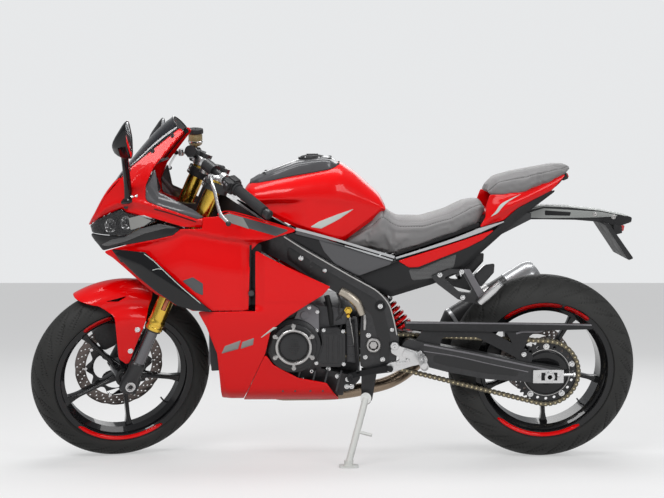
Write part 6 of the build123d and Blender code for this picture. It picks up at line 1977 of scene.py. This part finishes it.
# Raised ridges along the swingarm, coloured grey as a painted highlight on their edges.
ridges = [
    ribbon(RIDGE, 5.0, arm_side, 0.4, 2.4),
    ribbon([(300, 396), (400, 380), (520, 352), (640, 326)], 3.0, arm_side, 0.3, 1.6),
]
on_chassis("arm_ridge_highlights", both(*ridges), "frame_black", "cover_grey")
pocket = [
    (330, 384, 10), (470, 366, 20), (610, 334, 10), (604, 312, 8), (500, 322, 30), (380, 346, 20),
    (332, 360, 8),
]
on_chassis("arm_webs", both(patch(pocket, arm_side, 0.4, 2.4, 9.0)), "frame_black", "frame")
AXLE_X, AXLE_Z = REAR_AXLE.x, REAR_AXLE.z
axle_nut = nut([
    (8.4, -ARM - 17), (15, -ARM - 17), (17, -ARM - 15), (17, -ARM - 8), (21, -ARM - 7.5), (21, -ARM - 6),
])
draw_bolt = nut([(0, 0), (5, 0), (5, 34), (8, 35), (8, 41), (0, 41)])
blocks = [block((w, 10, 44), 2, at(AXLE_X + x, -ARM - 3, AXLE_Z)) for x, w in ((-46, 14), (42, 10))]
blocks.append(moved(axle_nut, Matrix.Translation(REAR_AXLE)))
blocks += screws(4, 4, -ARM - 7, ((AXLE_X - 32, AXLE_Z), (AXLE_X + 30, AXLE_Z)))
blocks.append(moved(draw_bolt, at(AXLE_X + 48, -ARM + 17, AXLE_Z) @ tilt(-90, "Z")))
on_chassis("chain_adjusters", both(*blocks), "alloy_bright", "alloy")
# Dark blocks on the adjuster plates: painted shade where the open slots are.
slot_shades = [block((12, 2, 26), 3, at(AXLE_X + x, -ARM - 7, AXLE_Z)) for x in (-20, 20)]
on_chassis("adjuster_slot_shades", both(*slot_shades), "black_satin", "dark")
heads = screws(6, 4, -ARM + 1, [(625, 384)])
on_chassis("guard_screws", joined("screws", *heads), "alloy_bright", "chrome")
# Grey strips along the chain guard's upper edge: a painted highlight where the guard catches the light.
rail = [
    ribbon([(242, 490), (420, 488), (640, 485), (842, 480)], 4.5, lambda x, z: ARM - 2, 0.4, 2.0),
    ribbon([(600, 452), (624, 458), (676, 458), (690, 468)], 6.0, lambda x, z: ARM - 8, 0.4, 2.0),
]
on_chassis("guard_edge_highlights", joined("rail", *rail), "silver_paint", "cover_grey")

SHOCK_FOOT, SHOCK_TOP = Vector((268, 0, 400)), Vector((150, 0, 552))
COILS, COIL_STEPS = 6, 18
reach = (SHOCK_TOP - SHOCK_FOOT).length
strut = along(SHOCK_FOOT, SHOCK_TOP)
angles = [2 * pi * k / COIL_STEPS for k in range(COIL_STEPS * COILS)]
coil = tube([(38 * cos(a), 34 + a * 3.05, 38 * sin(a)) for a in angles], 5.4, 10, 1, smooth=False)
on_chassis("shock_spring", moved(coil, strut), "red_paint", "red")
damper = lathe([
    (0, 10), (16, 12), (17, 30), (40, 31), (42, 34), (17, 36), (17, 90), (12, 92), (12, 150), (40, 152),
    (42, 156), (24, 160), (22, reach - 22), (0, reach - 22),
], 40)
on_chassis("shock_damper", moved(damper, strut), "black_satin", "frame", "rear_shock")
eye = lathe([(10, -30), (18, -30), (19, -28), (19, 28), (18, 30), (10, 30)], 36)
on_chassis("shock_eyes", moved(eye, Matrix.Translation(SHOCK_FOOT)), "alloy_bright", "steel")


# ---------------------------------------------------------------- pegs, levers and exhaust
PEG = SPAR + 12
lip = lathe([(6, -PEG - 3), (12, -PEG - 3), (13.5, -PEG - 1.5), (13.5, -PEG + 4)], 36)
knurl = lathe([(11.6, -1.6), (13.4, -1.0), (13.4, 1.0), (11.6, 1.6)], 28)
details = [moved(lip, at(x, 0, z)) for x, z in ((204, 418), (188, 346))]
details.append(block((66, 6, 26), 3, at(262, -PEG - 2, 386) @ tilt(22)))
details.append(block((44, 5, 10), 2, at(232, -PEG - 1, 362) @ tilt(-8)))
details += [moved(knurl, at(292, -PEG - 22 - 5.6 * k, 374)) for k in range(15)]
on_chassis("peg_details", both(*details), "alloy_bright", "alloy")
heads = screws(6.5, 6, -PEG - 1, ((204, 418), (188, 346)))
heads += screws(4.5, 4, -PEG - 5, ((286, 398), (246, 372)))
on_chassis("peg_screws", both(*heads), "alloy_bright", "chrome")
ridges = [(9.4 if k % 2 else 8.4, -42 + 2.6 * k) for k in range(13)]
end = nut([(0, -PEG - 9), (7, -PEG - 9), (8, -PEG - 7), (8, -PEG)])
toe = [moved(lathe([(0, -44)] + ridges + [(8, -9)], 24), at(60, -PEG, 321))]
toe += [moved(end, at(x, 0, z)) for x, z in ((70, 500), (86, 334))]
on_chassis("toe_rubbers", joined("toe", *toe), "rubber", "rubber")

peg = [(478, -144, 556), (500, -152, 580), (520, -160, 602), (540, -168, 624)]
peg = tube(peg, [12, 15.5, 15.5, 12], 8, 3)
on_chassis("passenger_pegs", both(peg), "alloy_bright", "alloy")
blade = [(462, 642, 4), (500, 676, 6), (528, 680, 6), (526, 650, 6), (486, 604, 6), (470, 612, 4)]
on_chassis("hanger_blades", both(plate([shape(blade, 3)], -123, -117, 1.0)), "black_satin", "frame")
strap = patch([(424, 664, 4), (446, 664, 4), (508, 560, 4), (486, 552, 4)], lambda x, z: 138.5, 0.6, 2.6)
on_chassis("hanger_struts", both(strap), "black_satin", "cover_grey")
heads = screws(6, 5, -139, ((350, 646), (424, 572), (420, 656)))
on_chassis("hanger_screws", both(*heads), "alloy_bright", "chrome")

CAN_START, CAN_END = Vector((400, 206, 390)), Vector((733, 238, 592))
can = along(CAN_START, CAN_END)
length = (CAN_END - CAN_START).length
band = lathe([(56.3, 44), (58.5, 45), (58.5, 56), (56.3, 57)], 64, closed=True)
strap = lathe([(56.2, 190), (58.4, 191), (58.4, 214), (56.2, 215)], 64, closed=True)
end_cap = lathe([
    (56.5, length - 112), (58, length - 110), (58, length - 30), (54, length - 12), (46, length + 1),
    (40, length + 2), (30, length - 3), (26, length - 6), (26, length - 40),
], 64)
liner = lathe([
    (25, length - 60), (25, length + 4), (23, length + 6), (21, length + 4), (21, length - 60),
], 40, closed=True)
on_chassis("can_ends", moved(joined("bands", band, end_cap), can), "muffler_black", "silver")
on_chassis("can_strap", moved(joined("strap", strap, liner), can), "alloy_bright", "steel")
hanger = tube([can @ Vector((-50, 202, 10)), (470, 170, 560), (440, 140, 600)], [8, 7, 8], 12)
on_chassis("can_hanger", hanger, "black_satin", "frame")
sleeve = lathe([(22.5, -9), (26, -8), (26, 8), (22.5, 9)], 40, closed=True)
JOINTS = (
    ((-322, 0, 500), (-318, 0, 430)), ((120, 52, 220), (220, 90, 232)), ((372, 198, 348), (404, 206, 392)),
)
sleeves = joined("joints", *[moved(sleeve, along(start, end)) for start, end in JOINTS])
on_chassis("pipe_joints", sleeves, "alloy_bright", "steel")


# ---------------------------------------------------------------- plain CAD nodes
KEPT = {
    "frame": "main_frame swingarm yokes handlebars rear_caliper pillion_pegs",
    "cast": "engine_block",
    "black": "radiator chain_guard plate_bracket",
    "dark": "foot_controls",
    "alloy": "rear_axle peg_brackets front_axle",
    "pipe": "exhaust_pipe",
    "can": "muffler",
    "stand": "side_stand",
    "caliper": "front_caliper",
}
for look, names in KEPT.items():
    for name in names.split():
        kept = frame["nodes"][name].data
        kept.materials.clear()
        kept.materials.append(M[look])


# ---------------------------------------------------------------- stage, lights, camera
FLOOR_GREY, FLOOR_GLOW, FLOOR_HALF = (0.45, 0.45, 0.45), 0.42, 40
SKY, SKY_STRENGTH, PALE_WALL = (0.95, 0.97, 1.0, 1), 0.33, (0.80, 0.81, 0.82, 1)
SENSOR, FOCAL_PIXELS, PHOTO_WIDTH = 36, 1046.1, 664
CAMERA_ALONG, CAMERA_AWAY, CAMERA_HEIGHT, CAMERA_RISE = 0.0007, 3.6, 0.6396, 1.015
floor_look = Finish("studio_floor", FLOOR_GREY, 0.8)
floor_look.shaded(floor_look.noise(0.6, 3.0), 0.97)
rays = floor_look.node("ShaderNodeLightPath").outputs
seen = floor_look.maths("MAXIMUM", rays["Is Camera Ray"], rays["Is Glossy Ray"])
glow = floor_look.maths("MULTIPLY", seen, FLOOR_GLOW)
floor_look.feed(floor_look.shader, {"Emission Color": (1, 1, 1, 1), "Emission Strength": glow})
corners = [(x * FLOOR_HALF, y * FLOOR_HALF, 0) for x, y in CORNERS]
floor_mesh = bpy.data.meshes.new("studio_floor")
floor_mesh.from_pydata(corners, [], [(0, 1, 2, 3)])
floor_mesh.materials.append(floor_look.mat)
linked("studio_floor", floor_mesh)

world = bpy.data.worlds.new("studio")
world.use_nodes = True
bpy.context.scene.world = world
tree = world.node_tree
background = tree.nodes["Background"]
background.inputs["Color"].default_value = SKY
background.inputs["Strength"].default_value = SKY_STRENGTH
pale = tree.nodes.new("ShaderNodeBackground")
pale.inputs["Color"].default_value = PALE_WALL
light_path = tree.nodes.new("ShaderNodeLightPath")
seen = tree.nodes.new("ShaderNodeMath")
seen.operation = "MAXIMUM"
mix = tree.nodes.new("ShaderNodeMixShader")
for source, target in (
    (light_path.outputs["Is Camera Ray"], seen.inputs[0]),
    (light_path.outputs["Is Transmission Ray"], seen.inputs[1]),
    (seen.outputs[0], mix.inputs["Fac"]),
    (background.outputs[0], mix.inputs[1]),
    (pale.outputs[0], mix.inputs[2]),
    (mix.outputs[0], tree.nodes["World Output"].inputs["Surface"]),
):
    tree.links.new(source, target)


def lamp(name, where, target, size, watts):
    data = bpy.data.lights.new(name, "AREA")
    data.shape = "RECTANGLE"
    data.size, data.size_y = size
    data.energy = watts
    made = linked(name, data)
    made.location = where
    made.rotation_euler = (Vector(target) - Vector(where)).to_track_quat("-Z", "Y").to_euler()


lamp("key", (-1.8, -3.2, 3.2), (0, 0, 0.6), (2.6, 1.2), 95)
lamp("fill", (2.6, -3.0, 2.2), (0, 0, 0.5), (2.2, 1.6), 50)
lamp("top", (0.0, 0.3, 3.4), (0, 0, 0.5), (3.2, 0.9), 48)
lamp("back", (0.6, 3.4, 2.4), (0, 0, 0.6), (3.0, 1.4), 28)

data = bpy.data.cameras.new("camera")
data.sensor_width = SENSOR
data.lens = SENSOR * FOCAL_PIXELS / PHOTO_WIDTH
camera = linked("camera", data)
camera.location = (shift.x + CAMERA_ALONG, shift.y - CAMERA_AWAY, CAMERA_HEIGHT)
camera.rotation_euler = (radians(90 + CAMERA_RISE), 0, 0)
bpy.context.scene.camera = camera
bpy.context.scene.view_settings.view_transform = "Standard"
